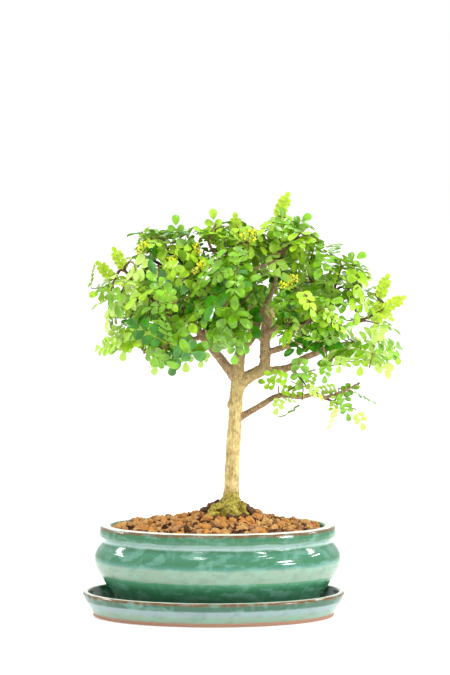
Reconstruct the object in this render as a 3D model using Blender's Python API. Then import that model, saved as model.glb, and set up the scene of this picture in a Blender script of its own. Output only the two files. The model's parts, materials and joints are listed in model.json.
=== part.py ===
"""Prickly ash bonsai, about 35 cm tall, in an oval glazed pot that stands in its drip tray.

The origin is the middle of the tray's flat underside, +X runs along the pot to the right and +Z
is up. Every size here is in millimetres, and a mesh is turned into metres when its object is made.
"""

import math
import random
from collections import namedtuple

import bmesh
import bpy
from mathutils import Vector, noise
from mathutils.bvhtree import BVHTree

MM = 0.001
GAP = 0.3
UP = Vector((0.0, 0.0, 1.0))

# Ovals: the half width is the half length less a fixed amount, as in slab-built ovals
OVAL_STEPS = 36
TRAY_SLIM = 28.0
POT_SLIM = 24.7

# Profiles of the turned pieces: half lengths and heights, from the foot up the outside, over the rim
# and down the inside
TRAY_FLOOR = 5.0
TRAY_PROFILE = [
    (99.3, 0.0), (100.5, 0.9), (101.0, 3.4), (103.3, 7.0), (106.9, 12.6), (109.3, 18.2), (108.7, 19.8),
    (106.7, 20.6), (104.7, 20.1), (103.2, 15.0), (99.6, 9.0), (94.1, TRAY_FLOOR + 0.7), (87.1, TRAY_FLOOR),
]
POT_X = 3.4
POT_FOOT_Z = TRAY_FLOOR + GAP
POT_FOOT = [(70.0, POT_FOOT_Z + 3.0), (70.0, POT_FOOT_Z), (76.0, POT_FOOT_Z), (76.8, POT_FOOT_Z + 2.4)]
POT_BELLY = [(80.5, 9.3), (91.3, 24.2), (100.6, 38.2), (103.2, 47.5), (101.2, 54.8), (96.4, 61.0)]
POT_LIP = [(96.6, 64.6), (98.4, 66.4), (99.0, 73.3), (97.9, 74.6), (94.5, 75.9), (90.5, 75.6)]
POT_INSIDE = [(88.9, 75.0), (88.3, 70.0), (89.4, 60.0), (96.2, 47.5), (85.5, 25.0), (73.0, 13.3)]

# Soil: a mound that rises from the pot's wall to the crest round the trunk's seat
SOIL_EDGE_HALF_LENGTH = 88.0
SOIL_EDGE_Z = 71.5
SOIL_CREST_RADIUS = 25.5
SOIL_CREST_Z = 84.0
SOIL_SLOPE_RISE = 8.5
SOIL_SLOPE_POWER = 0.7
SOIL_HEAP_POWER = 6
SOIL_SEAT_EDGE_RADIUS = 23.3
SOIL_SEAT_RADIUS = 22.5
SOIL_SEAT_Z = 81.7
SOIL_RINGS = 7
SOIL_LUMP = 7.0
SOIL_LUMP_SPACING = 7.5

# Trunk: its lean and taper, and the root flare that spreads over the soil
TRUNK_FOOT = Vector((11.8, 0.0, SOIL_SEAT_Z + GAP))
TRUNK_KNOTS = [TRUNK_FOOT, (14.6, 0, 99), (15.8, 0, 130), (18.3, 0, 172), (20.2, 0, 205), (20.8, 0, 211.5)]
TRUNK_TOP_Z = 211.5
TRUNK_FOOT_RADIUS = 6.5
TRUNK_TIP_RADIUS = 5.1
TRUNK_SIDES = 12
TRUNK_STEPS = 5
TRUNK_RING_SPACING = 1.5
FLARE_TOP_Z = 99.0
FLARE_SPREAD = 10.4
FLARE_CURVE = 1.3
FLARE_LOBES = 4
FLARE_LOBE_DEPTH = 0.24
FLARE_TURN = -0.2

# Boughs: each one is a tapering limb from its foot inside its carrier to its tip
Limb = namedtuple("Limb", "name foot_radius tip_radius sides knots knob_radius", defaults=(0.0,))
BOUGHS = [
    Limb("left_bough", 4.4, 1.9, 8, [(19.6, 0, 196), (13.7, -0.5, 204), (6.2, -1.5, 214), (-3.9, -3, 226.5),
                                     (-12.9, -4, 238), (-28, -4, 262), (-33, -4, 275)]),
    Limb("leader", 4.8, 3.0, 8, [(20.9, 0, 211.8), (22.8, 1, 219.8), (27.8, 3.5, 227.3), (33.5, 6.5, 235),
                                 (36, 9, 245), (34, 12, 256)]),
    Limb("right_bough", 5.4, 4.7, 8, [(19.8, 0, 189), (24.5, 0, 195), (30.3, 0, 199.8), (45, 0, 207)]),
    Limb("right_upright", 4.5, 3.7, 8, [(41.5, 0, 204.5), (42.8, -0.3, 212), (42.8, -0.6, 228), (43.4, -1, 240),
                                        (48.6, -1, 257)], 5.8),
    Limb("right_outer_bough", 3.4, 2.2, 8, [(40, 0, 205), (48, -0.5, 204.4), (63.6, -1.5, 207.3),
                                            (75.2, -2, 214.8), (86.9, -3, 219.8), (100, -4, 225)]),
    Limb("low_bough", 2.8, 1.7, 8, [(18.0, 0, 161.5), (24.5, -0.5, 166.5), (38.7, -2, 175.2), (54.9, -4, 184),
                                    (72.8, -5, 182.5), (83.6, -6, 185.2), (93, -6, 181.8)]),
    Limb("heart_arm", 1.9, 1.4, 6, [(-7.5, -3.4, 231), (-6, -5, 242), (-4, -5, 250)]),
    Limb("left_arm", 2.5, 1.6, 6, [(-16, -4, 243), (-30, -9, 248.5), (-39.5, -11, 256), (-50, -12, 264)]),
    Limb("left_low_arm", 2.2, 1.5, 6, [(-8.5, -3.5, 232), (-22, -8, 231), (-34, -11, 233)]),
    Limb("left_front_arm", 2.3, 1.6, 6, [(-13, -4, 238), (-17, -18, 241), (-22, -32, 245)]),
    Limb("left_back_arm", 2.3, 1.6, 6, [(-15.5, -4, 242), (-21, 12, 246), (-27, 28, 251)]),
    Limb("top_arm", 2.4, 1.6, 6, [(35, 10.5, 251), (26, 8, 262), (18, 5, 272), (14, 3, 282)]),
    Limb("peak_arm", 2.4, 1.6, 6, [(36, 9.3, 246), (44, 9, 260), (50, 6, 273), (53, 4, 286)]),
    Limb("back_arm", 2.4, 1.6, 6, [(33.5, 6.5, 235), (28, 20, 243), (18, 40, 254)]),
    Limb("front_arm", 2.3, 1.6, 6, [(43, -0.7, 228), (34, -14, 236), (19, -38, 246)]),
    Limb("right_front_arm", 2.3, 1.6, 6, [(43.2, -1, 236), (52, -14, 240), (64, -28, 243)]),
    Limb("right_back_arm", 2.3, 1.6, 6, [(42.8, -0.6, 226), (48, 14, 236), (56, 30, 246)]),
    Limb("right_arm", 2.7, 1.7, 6, [(42.8, -0.5, 219), (58, -5, 224), (75.2, -7, 229.5), (92, -7, 234.5),
                                    (114, -6, 243)]),
    Limb("crown_arm", 1.9, 1.4, 6, [(91, -7, 234), (95, -6, 246), (98, -5, 262)]),
    Limb("inner_arm", 1.8, 1.3, 6, [(63.6, -1.5, 207.3), (69, -11, 202)]),
]
KNOB_LENGTH = 9.0
KNOB_PEAK = 0.4
KNOB_TAPER = 0.5
STEPS_PER_KNOT = 2
MEETING_REACH = 2.5

# Masses of foliage: the limb that carries each one, its middle, its half sizes, how many leaves
# fill it, and its reaches. A reach is the tip of one of its furthest leaves and the way it points
Mass = namedtuple("Mass", "name limb centre half_sizes leaves reaches blossoms leaf_scale",
                  defaults=(0, 1.0))
MASSES = [
    Mass("left_tip_foliage", "left_arm", (-66, -8, 271), (43, 42, 48), 5,
         [((-83, -16, 308), (-0.5, 0, 1)), ((-97, -6, 296), (-0.7, 0, 0.8)), ((-104, 6, 267), (-1, 0, -0.1))]),
    Mass("left_lower_foliage", "left_low_arm", (-50, -4, 232), (50, 44, 42), 6,
         [((-89, -4, 220), (-0.7, 0, -0.65)), ((-22, 8, 202), (0.15, 0, -1))]),
    Mass("left_front_foliage", "left_front_arm", (-36, -50, 254), (42, 42, 54), 7,
         [((-33, -50, 203), (0.05, 0, -1)), ((-40, -90, 258), (0, -1, 0.1))], 1),
    Mass("left_back_foliage", "left_back_arm", (-36, 50, 262), (46, 46, 46), 5,
         [((-40, 94, 262), (0, 1, 0))], 1),
    Mass("left_crown_foliage", "left_bough", (-34, -4, 303), (42, 46, 38), 6,
         [((-32, -4, 334), (-0.1, 0, 1))], 1),
    Mass("heart_foliage", "heart_arm", (-2, -4, 262), (34, 34, 36), 4, []),
    Mass("front_foliage", "front_arm", (10, -60, 262), (36, 40, 52), 5,
         [((8, -98, 262), (0, -1, 0.1)), ((17.5, -60, 213), (-0.05, 0, -1))], 1),
    Mass("back_foliage", "back_arm", (14, 62, 262), (42, 42, 44), 5,
         [((14, 103, 262), (0, 1, 0))]),
    Mass("top_foliage", "top_arm", (9, -2, 304), (40, 46, 38), 5,
         [((18, 7, 336), (-0.05, 0, 1)), ((-1, -9, 339), (-0.1, 0, 1))]),
    Mass("peak_foliage", "peak_arm", (60, 2, 312), (38, 44, 43), 6,
         [((58, 2, 353), (0.15, 0, 1)), ((80, 2, 335), (0.8, 0, 0.8))]),
    Mass("right_front_foliage", "right_front_arm", (78, -48, 252), (38, 44, 42), 6,
         [((84, -88, 254), (0.1, -1, 0))], 1),
    Mass("right_back_foliage", "right_back_arm", (66, 54, 258), (46, 46, 44), 5,
         [((72, 96, 260), (0.1, 1, 0))], 1),
    Mass("right_crown_foliage", "crown_arm", (96, -2, 282), (44, 46, 40), 6,
         [((126, -2, 303), (0.9, 0, 0.6))]),
    Mass("right_tip_foliage", "right_arm", (124, -4, 254), (42, 42, 42), 5,
         [((159.5, -12, 267), (1, 0, 0.6)), ((146, 8, 285), (0.4, 0, 1))]),
    Mass("right_lower_foliage", "right_outer_bough", (116, -4, 220), (44, 42, 33), 6,
         [((150, -4, 205), (0.8, 0, -0.7))]),
    Mass("inner_right_foliage", "inner_arm", (62, -18, 192), (36, 28, 28), 3,
         [((51, -12, 168), (-0.3, 0, -1)), ((37, -14, 197), (-1, 0, 0.3))], 0, 0.62),
    Mass("low_foliage", "low_bough", (110, -6, 178), (32, 28, 32), 2,
         [((126, -6, 155), (0.45, 0, -1)), ((121, -6, 193), (1, 0, 0.45))], 0, 0.68),
]
SPACE_MARGIN = 0.6
LIMB_CLEARANCE = 0.9
INNER_SHARE = 0.62
SPREAD_TRIES = 40

# Twigs, three-sided, and leaves: a leaf is one thin blade, cut to its rib between its leaflets
TWIG_SIDES = 3
TWIG_TIP_RADIUS = 0.95
TWIG_GROWTH = 0.3
TWIG_PATH_COST = 0.3
TWIG_TEST_RADIUS = 1.3
TWIG_BEND = 0.4
TWIG_FOOT_SINK = 0.5
TWIG_TIP_LEAD = 0.4
STEM_LENGTH = 5.0
LEAF_RIB_LENGTH = 19.0
LEAF_ROOT = 0.4
LEAF_ROOT_HALF_WIDTH = 0.2
LEAF_STEP_BACK = 0.35
LEAF_SCALES = (0.82, 1.06)
LEAF_RIB_HALF_WIDTH = 0.5
LEAF_THICKNESS = 0.8
LEAF_DROOP = 0.16
LEAF_CUP = 0.12
PAIR_PLACES = (6.0, 18.0)
LEAFLET_LENGTH = 19.0
LEAFLET_END_SCALE = 1.06
LEAFLET_PAIR_SCALE = 0.94
LEAF_LENGTH = LEAF_RIB_LENGTH + LEAFLET_END_SCALE * LEAFLET_LENGTH
LEAFLET_WIDTH = 10.8
LEAFLET_BELLY = 0.56
LEAFLET_SWING = math.radians(64)
LEAF_TRIES = 40
LEAF_WAY = {"outward": 0.5, "along": 0.4, "chance": 0.7}
LEAF_FACING = {"up": 0.8, "outward": 0.8, "chance": 0.45, "least_turn": 0.3}
TIP_SPACING = 13.0
LEAVES_PER_TWIG = 2.2
MOST_LEAVES_ON_TWIG = 3
REACH_LEAF_SCALE = 0.72
REACH_FACING = Vector((0.0, -1.0, 0.4))
CROWN_AXIS_X = 24.0
BLOSSOM_RADIUS = 3.6
BLOSSOM_LIFT = 2.2
FIRST_SEED = 11

# Colours, with red, green and blue from 0 to 1
GLAZE_GREEN = (0.10, 0.36, 0.26)
SOIL_ORANGE = (0.45, 0.20, 0.08)
BARK_TAN = (0.48, 0.36, 0.19)
LEAF_GREEN = (0.10, 0.36, 0.06)


def remove_old_objects():
    """Empty the scene."""
    for old in list(bpy.data.objects):
        bpy.data.objects.remove(old, do_unlink=True)


def make_material(name, colour, roughness):
    """Return a Principled material of one colour."""
    material = bpy.data.materials.new(name)
    material.use_nodes = True
    shader = material.node_tree.nodes["Principled BSDF"]
    shader.inputs["Base Color"].default_value = (*colour, 1.0)
    shader.inputs["Roughness"].default_value = roughness
    shader.inputs["Metallic"].default_value = 0.0
    return material


def make_object(name, bm, material=None, collection=None):
    """Turn a mesh in millimetres into an object in metres."""
    bmesh.ops.recalc_face_normals(bm, faces=bm.faces)
    bmesh.ops.scale(bm, vec=(MM, MM, MM), verts=bm.verts)
    mesh = bpy.data.meshes.new(name)
    bm.to_mesh(mesh)
    bm.free()
    if material:
        mesh.materials.append(material)
    made = bpy.data.objects.new(name, mesh)
    (collection or bpy.context.scene.collection).objects.link(made)
    return made


def smooth_edges(made, degrees=38):
    """Shade a piece smooth, apart from its sharp edges."""
    made.data.shade_smooth()
    made.data.set_sharp_from_angle(angle=math.radians(degrees))


def loft(bm, rings):
    """Join rings of points into one closed skin, with a flat face on the first and the last."""
    loops = [[bm.verts.new(point) for point in ring] for ring in rings]
    count = len(loops[0])
    for lower, upper in zip(loops, loops[1:]):
        for i in range(count):
            j = (i + 1) % count
            bm.faces.new((lower[i], lower[j], upper[j], upper[i]))
    bm.faces.new(loops[0])
    bm.faces.new(loops[-1])


def oval_ring(half_length, z, slim, centre_x=0.0):
    """Return the points of one level oval."""
    half_width = half_length - slim
    angles = [math.tau * i / OVAL_STEPS for i in range(OVAL_STEPS)]
    return [Vector((centre_x + half_length * math.cos(a), half_width * math.sin(a), z)) for a in angles]


def round_ring(radius, z):
    """Return the points of one level circle round the trunk's foot."""
    angles = [math.tau * i / OVAL_STEPS for i in range(OVAL_STEPS)]
    return [Vector((TRUNK_FOOT.x + radius * math.cos(a), radius * math.sin(a), z)) for a in angles]


def smooth_path(knots, steps):
    """Return points along a Catmull-Rom curve through the knots."""
    knots = [Vector(knot) for knot in knots]
    ends = [2 * knots[0] - knots[1], *knots, 2 * knots[-1] - knots[-2]]
    points = []
    for before, start, end, after in zip(ends, ends[1:], ends[2:], ends[3:]):
        for step in range(steps):
            t = step / steps
            points.append(0.5 * (2 * start + (end - before) * t
                                 + (2 * before - 5 * start + 4 * end - after) * t ** 2
                                 + (3 * start - before - 3 * end + after) * t ** 3))
    points.append(knots[-1])
    return points


def path_frames(points):
    """Return a side and a second side for each point, carried along the path without a twist."""
    frames = []
    ahead = (points[1] - points[0]).normalized()
    side = ahead.orthogonal().normalized()
    for i, point in enumerate(points):
        after = points[min(i + 1, len(points) - 1)]
        before = points[max(i - 1, 0)]
        ahead = (after - before).normalized()
        side = (side - ahead * side.dot(ahead)).normalized()
        frames.append((side, ahead.cross(side)))
    return frames


def tube_rings(points, radii, sides):
    """Return the rings of a round limb along a path."""
    rings = []
    for point, radius, (side, other) in zip(points, radii, path_frames(points)):
        angles = [math.tau * i / sides for i in range(sides)]
        rings.append([point + radius * (side * math.cos(a) + other * math.sin(a)) for a in angles])
    return rings


def join_modifier(target, operation, other):
    """Join to, or cut from, an object another object or a collection of them, and apply it."""
    modifier = target.modifiers.new(operation.lower(), "BOOLEAN")
    modifier.operation = operation
    modifier.solver = "EXACT"
    if isinstance(other, bpy.types.Collection):
        modifier.operand_type = "COLLECTION"
        modifier.collection = other
    else:
        modifier.object = other
    evaluated = target.evaluated_get(bpy.context.evaluated_depsgraph_get())
    joined = bpy.data.meshes.new_from_object(evaluated)
    target.modifiers.clear()
    target.data = joined


def keep_main_body(made):
    """Drop every loose scrap and every sealed hollow, so that one outer skin is left."""
    bm = bmesh.new()
    bm.from_mesh(made.data)
    unseen = set(bm.verts)
    bodies = []
    while unseen:
        found = {unseen.pop()}
        edge_of_search = list(found)
        while edge_of_search:
            vert = edge_of_search.pop()
            for edge in vert.link_edges:
                other = edge.other_vert(vert)
                if other in unseen:
                    unseen.discard(other)
                    found.add(other)
                    edge_of_search.append(other)
        bodies.append(found)
    main = max(bodies, key=lambda body: (len(body), max(vert.co.z for vert in body)))
    spare = [vert for body in bodies if body is not main for vert in body]
    bmesh.ops.delete(bm, geom=spare, context="VERTS")
    bm.to_mesh(made.data)
    bm.free()


def build_tray(glaze):
    """Make the drip tray: a flat foot, a wall that leans out and a rolled rim."""
    bm = bmesh.new()
    loft(bm, [oval_ring(half_length, z, TRAY_SLIM) for half_length, z in TRAY_PROFILE])
    smooth_edges(make_object("tray", bm, glaze))


def build_pot(glaze):
    """Make the pot: a foot ring, a round belly, a groove for a neck and a heavy lip."""
    belly = [(point.x, point.z) for point in smooth_path([(x, 0, z) for x, z in POT_BELLY], 2)]
    profile = [*POT_FOOT, *belly, *POT_LIP, *POT_INSIDE]
    bm = bmesh.new()
    loft(bm, [oval_ring(half_length, z, POT_SLIM, POT_X) for half_length, z in profile])
    smooth_edges(make_object("pot", bm, glaze))


def mound_height(share):
    """Return how high the soil stands at a share of the way from its edge to its crest."""
    heap_rise = SOIL_CREST_Z - SOIL_EDGE_Z - SOIL_SLOPE_RISE
    return SOIL_EDGE_Z + SOIL_SLOPE_RISE * share ** SOIL_SLOPE_POWER + heap_rise * share ** SOIL_HEAP_POWER


def build_soil(earth):
    """Make the soil: it fills the pot, and its lumpy mound rises to a flat seat for the trunk."""
    rings = []
    for half_length, z in reversed(POT_INSIDE):
        if z < SOIL_EDGE_Z:
            rings.append(oval_ring(half_length - GAP, z + GAP, POT_SLIM, POT_X))
    edge = oval_ring(SOIL_EDGE_HALF_LENGTH, SOIL_EDGE_Z, POT_SLIM, POT_X)
    crest = round_ring(SOIL_CREST_RADIUS, SOIL_CREST_Z)
    for ring in range(SOIL_RINGS):
        share = ring / (SOIL_RINGS - 1)
        points = [outer.lerp(inner, share) for outer, inner in zip(edge, crest)]
        for point in points:
            point.z = mound_height(share)
            if ring > 0:
                point.z += SOIL_LUMP * noise.noise(point / SOIL_LUMP_SPACING)
        rings.append(points)
    rings.append(round_ring(SOIL_SEAT_EDGE_RADIUS, SOIL_CREST_Z))
    rings.append(round_ring(SOIL_SEAT_RADIUS, SOIL_SEAT_Z))
    bm = bmesh.new()
    loft(bm, rings)
    smooth_edges(make_object("soil", bm, earth), 60)


def flare_share(z):
    """Return how much of the root flare is left at a height: one at the soil, none at its top."""
    share = (z - TRUNK_FOOT.z) / (FLARE_TOP_Z - TRUNK_FOOT.z)
    if share >= 1:
        return 0.0
    return 0.5 * (1 + math.cos(math.pi * share ** FLARE_CURVE))


def trunk_rings(grow=0.0):
    """Return the trunk's level rings, with its root lobes, made wider all round by grow."""
    points = []
    for point in smooth_path(TRUNK_KNOTS, TRUNK_STEPS):
        if not points or point.z - points[-1].z > TRUNK_RING_SPACING:
            points.append(point)
    rings = []
    for point in points:
        climb = (point.z - TRUNK_FOOT.z) / (TRUNK_TOP_Z - TRUNK_FOOT.z)
        plain = TRUNK_FOOT_RADIUS + (TRUNK_TIP_RADIUS - TRUNK_FOOT_RADIUS) * climb
        ring = []
        for i in range(TRUNK_SIDES):
            angle = math.tau * i / TRUNK_SIDES
            lobe = 1 + FLARE_LOBE_DEPTH * math.cos(FLARE_LOBES * angle + FLARE_TURN)
            radius = plain + FLARE_SPREAD * flare_share(point.z) * lobe + grow
            ring.append(point + radius * Vector((math.cos(angle), math.sin(angle), 0)))
        rings.append(ring)
    return rings


def limb_path(limb):
    """Return a bough's points and its radius at each one."""
    points = smooth_path(limb.knots, STEPS_PER_KNOT)
    lengths = [0.0]
    for before, after in zip(points, points[1:]):
        lengths.append(lengths[-1] + (after - before).length)
    radii = [limb.foot_radius + (limb.tip_radius - limb.foot_radius) * run / lengths[-1] for run in lengths]
    for index, run in enumerate(lengths):
        to_tip = lengths[-1] - run
        if to_tip < KNOB_LENGTH:
            swelling = limb.knob_radius - KNOB_TAPER * abs(to_tip - KNOB_PEAK * KNOB_LENGTH)
            radii[index] = max(radii[index], swelling)
    return points, radii


def limb_rings(limb, grow=0.0):
    """Return a bough's rings, made wider all round, and longer at its tip, by grow."""
    points, radii = limb_path(limb)
    ahead = (points[-1] - points[-2]).normalized()
    points = [*points[:-1], points[-1] + ahead * grow]
    return tube_rings(points, [radius + grow for radius in radii], limb.sides)


def limbs_meet(limb, other):
    """Say whether two boughs come within touching distance."""
    points, radii = limb_path(limb)
    other_points, other_radii = limb_path(other)
    for point, radius in zip(points, radii):
        for other_point, other_radius in zip(other_points, other_radii):
            if (point - other_point).length < MEETING_REACH * (radius + other_radius):
                return True
    return False


def build_limbs(bark):
    """Make the trunk and the boughs, each bough cut clear of whatever it grows from."""
    bm = bmesh.new()
    loft(bm, trunk_rings())
    smooth_edges(make_object("trunk", bm, bark))
    for index, limb in enumerate(BOUGHS):
        bm = bmesh.new()
        loft(bm, limb_rings(limb))
        bough = make_object(limb.name, bm, bark)
        cutters = [trunk_rings(GAP)]
        cutters += [limb_rings(other, GAP) for other in BOUGHS[:index] if limbs_meet(limb, other)]
        for rings in cutters:
            bm = bmesh.new()
            loft(bm, rings)
            cutter = make_object("cutter", bm)
            join_modifier(bough, "DIFFERENCE", cutter)
            bpy.data.objects.remove(cutter, do_unlink=True)
        keep_main_body(bough)
        smooth_edges(bough)


def skin_tree(ring_sets):
    """Return a search tree of the skins of some tubes, to test whether something crosses them."""
    bm = bmesh.new()
    for rings in ring_sets:
        loft(bm, rings)
    tree = BVHTree.FromBMesh(bm)
    bm.free()
    return tree


class Space:
    """The room that one mass keeps to: nearer to its own middle than to any other's."""

    def __init__(self, mass):
        self.centre = Vector(mass.centre)
        self.half_sizes = mass.half_sizes
        self.walls = []
        for other in MASSES:
            if other is not mass:
                across = Vector(other.centre) - self.centre
                self.walls.append((across.normalized(), across.length / 2 - SPACE_MARGIN))

    def holds(self, points, share=1.0):
        """Say whether every point is inside, or inside the given share of its half sizes."""
        for point in points:
            local = point - self.centre
            if sum((local[i] / (share * self.half_sizes[i])) ** 2 for i in range(3)) > 1:
                return False
            if any(local.dot(normal) > reach for normal, reach in self.walls):
                return False
        return True

    def spread(self, rng, count, apart):
        """Return points spread evenly through the inner part of the room."""
        found = []
        for _ in range(count * SPREAD_TRIES):
            spot = Vector([rng.uniform(-1, 1) * size * INNER_SHARE for size in self.half_sizes]) + self.centre
            if self.holds([spot], INNER_SHARE) and all((spot - other).length > apart for other in found):
                found.append(spot)
            if len(found) == count:
                break
        return found


class Twig:
    """A bent twig that grows from the end of another, or from the foot of the mass."""

    def __init__(self, points, parent):
        self.points = points
        self.parent = parent
        self.end = points[-1]
        self.ahead = (points[-1] - points[-2]).normalized()
        self.run = sum((b - a).length for a, b in zip(points, points[1:])) + (parent.run if parent else 0)
        self.tips = 0

    def radius(self):
        """Return the thickness that its number of tips gives it."""
        return TWIG_TIP_RADIUS * max(self.tips, 1) ** TWIG_GROWTH

    def rings(self, foot_radius, tip_radius):
        """Return the twig's rings. Its foot is sunk in the twig before."""
        points = list(self.points)
        if self.parent:
            points[0] = points[0] - (points[1] - points[0]).normalized() * TWIG_FOOT_SINK * foot_radius
        points[-1] = points[-1] + self.ahead * TWIG_TIP_LEAD * tip_radius
        count = len(points) - 1
        radii = [foot_radius + (tip_radius - foot_radius) * i / count for i in range(count + 1)]
        return tube_rings(points, radii, TWIG_SIDES)


def twig_towards(tree, target):
    """Return a new twig that bends from the best placed end in the tree to a target."""
    parent = min(tree, key=lambda twig: (twig.end - target).length + TWIG_PATH_COST * twig.run)
    bend = parent.end + parent.ahead * TWIG_BEND * (target - parent.end).length
    middle = 0.25 * parent.end + 0.5 * bend + 0.25 * target
    return Twig([parent.end, middle, target], parent)


def leaflet_corners(root, angle, scale):
    """Return the outer side, the tip and the inner side of one leaflet, in the plane of the leaf."""
    ahead = Vector((math.cos(angle), math.sin(angle), 0))
    aside = Vector((-ahead.y, ahead.x, 0)) * 0.5 * LEAFLET_WIDTH * scale
    middle = root + ahead * LEAFLET_BELLY * LEAFLET_LENGTH * scale
    return middle + aside, root + ahead * LEAFLET_LENGTH * scale, middle - aside


def leaf_layout():
    """Return the corners and the faces of one leaf, laid out flat with X along its rib.

    The rib has a ridge above and below it at its foot, at each pair of leaflets and at its end.
    A leaflet is a diamond of four faces above and four below, which rise to that ridge.
    """
    places = (-LEAF_ROOT, *PAIR_PLACES)
    thick = 0.5 * LEAF_THICKNESS
    corners = [Vector((x, 0, level * (thick if x > 0 else LEAF_ROOT_HALF_WIDTH))) for x in places
               for level in (1, -1)]
    faces = []

    def add(point):
        corners.append(Vector(point))
        return len(corners) - 1

    def fan(rim, ridge):
        for level in (0, 1):
            faces.extend((start, end, 2 * ridge + level) for start, end in zip(rim, rim[1:]))

    last = {turn: add((-LEAF_ROOT, turn * LEAF_ROOT_HALF_WIDTH, 0)) for turn in (1, -1)}
    faces.append((0, last[1], 1, last[-1]))
    for index, place in enumerate(PAIR_PLACES, 1):
        for turn in (1, -1):
            side = turn * LEAF_RIB_HALF_WIDTH
            back, front = add((place - 1, side, 0)), add((place + 1, side, 0))
            points = leaflet_corners(Vector((place, 0, 0)), turn * LEAFLET_SWING, LEAFLET_PAIR_SCALE)[::turn]
            fan([back, *[add(point) for point in points], front], index)
            for level in (0, 1):
                faces.append((last[turn], back, 2 * index + level))
                faces.append((last[turn], 2 * index + level, 2 * index - 2 + level))
            last[turn] = front
    points = leaflet_corners(Vector((LEAF_RIB_LENGTH, 0, 0)), 0.0, LEAFLET_END_SCALE)
    fan([last[1], *[add(point) for point in points], last[-1]], len(PAIR_PLACES))
    return corners, faces


LEAF_CORNERS, LEAF_FACES = leaf_layout()
BLADE_FACES = [face for face in LEAF_FACES if min(LEAF_CORNERS[i].x for i in face) > 0]


class Leaf:
    """A leaf in its place. Its leaflets lift a little and its rib droops."""

    def __init__(self, foot, ahead, up, scale):
        side = ahead.cross(up).normalized()
        up = side.cross(ahead).normalized()
        self.middle = foot + ahead * 0.6 * LEAF_LENGTH * scale
        self.corners = []
        for along, across, lift in LEAF_CORNERS:
            lift += LEAF_CUP * abs(across) - LEAF_DROOP * along * abs(along) / LEAF_LENGTH
            self.corners.append(foot + scale * (ahead * along + side * across + up * lift))
        self.tree = BVHTree.FromPolygons(self.corners, BLADE_FACES)

    def mesh(self):
        """Return the leaf as a closed mesh."""
        bm = bmesh.new()
        verts = [bm.verts.new(corner) for corner in self.corners]
        for face in LEAF_FACES:
            bm.faces.new([verts[i] for i in face])
        return bm


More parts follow.
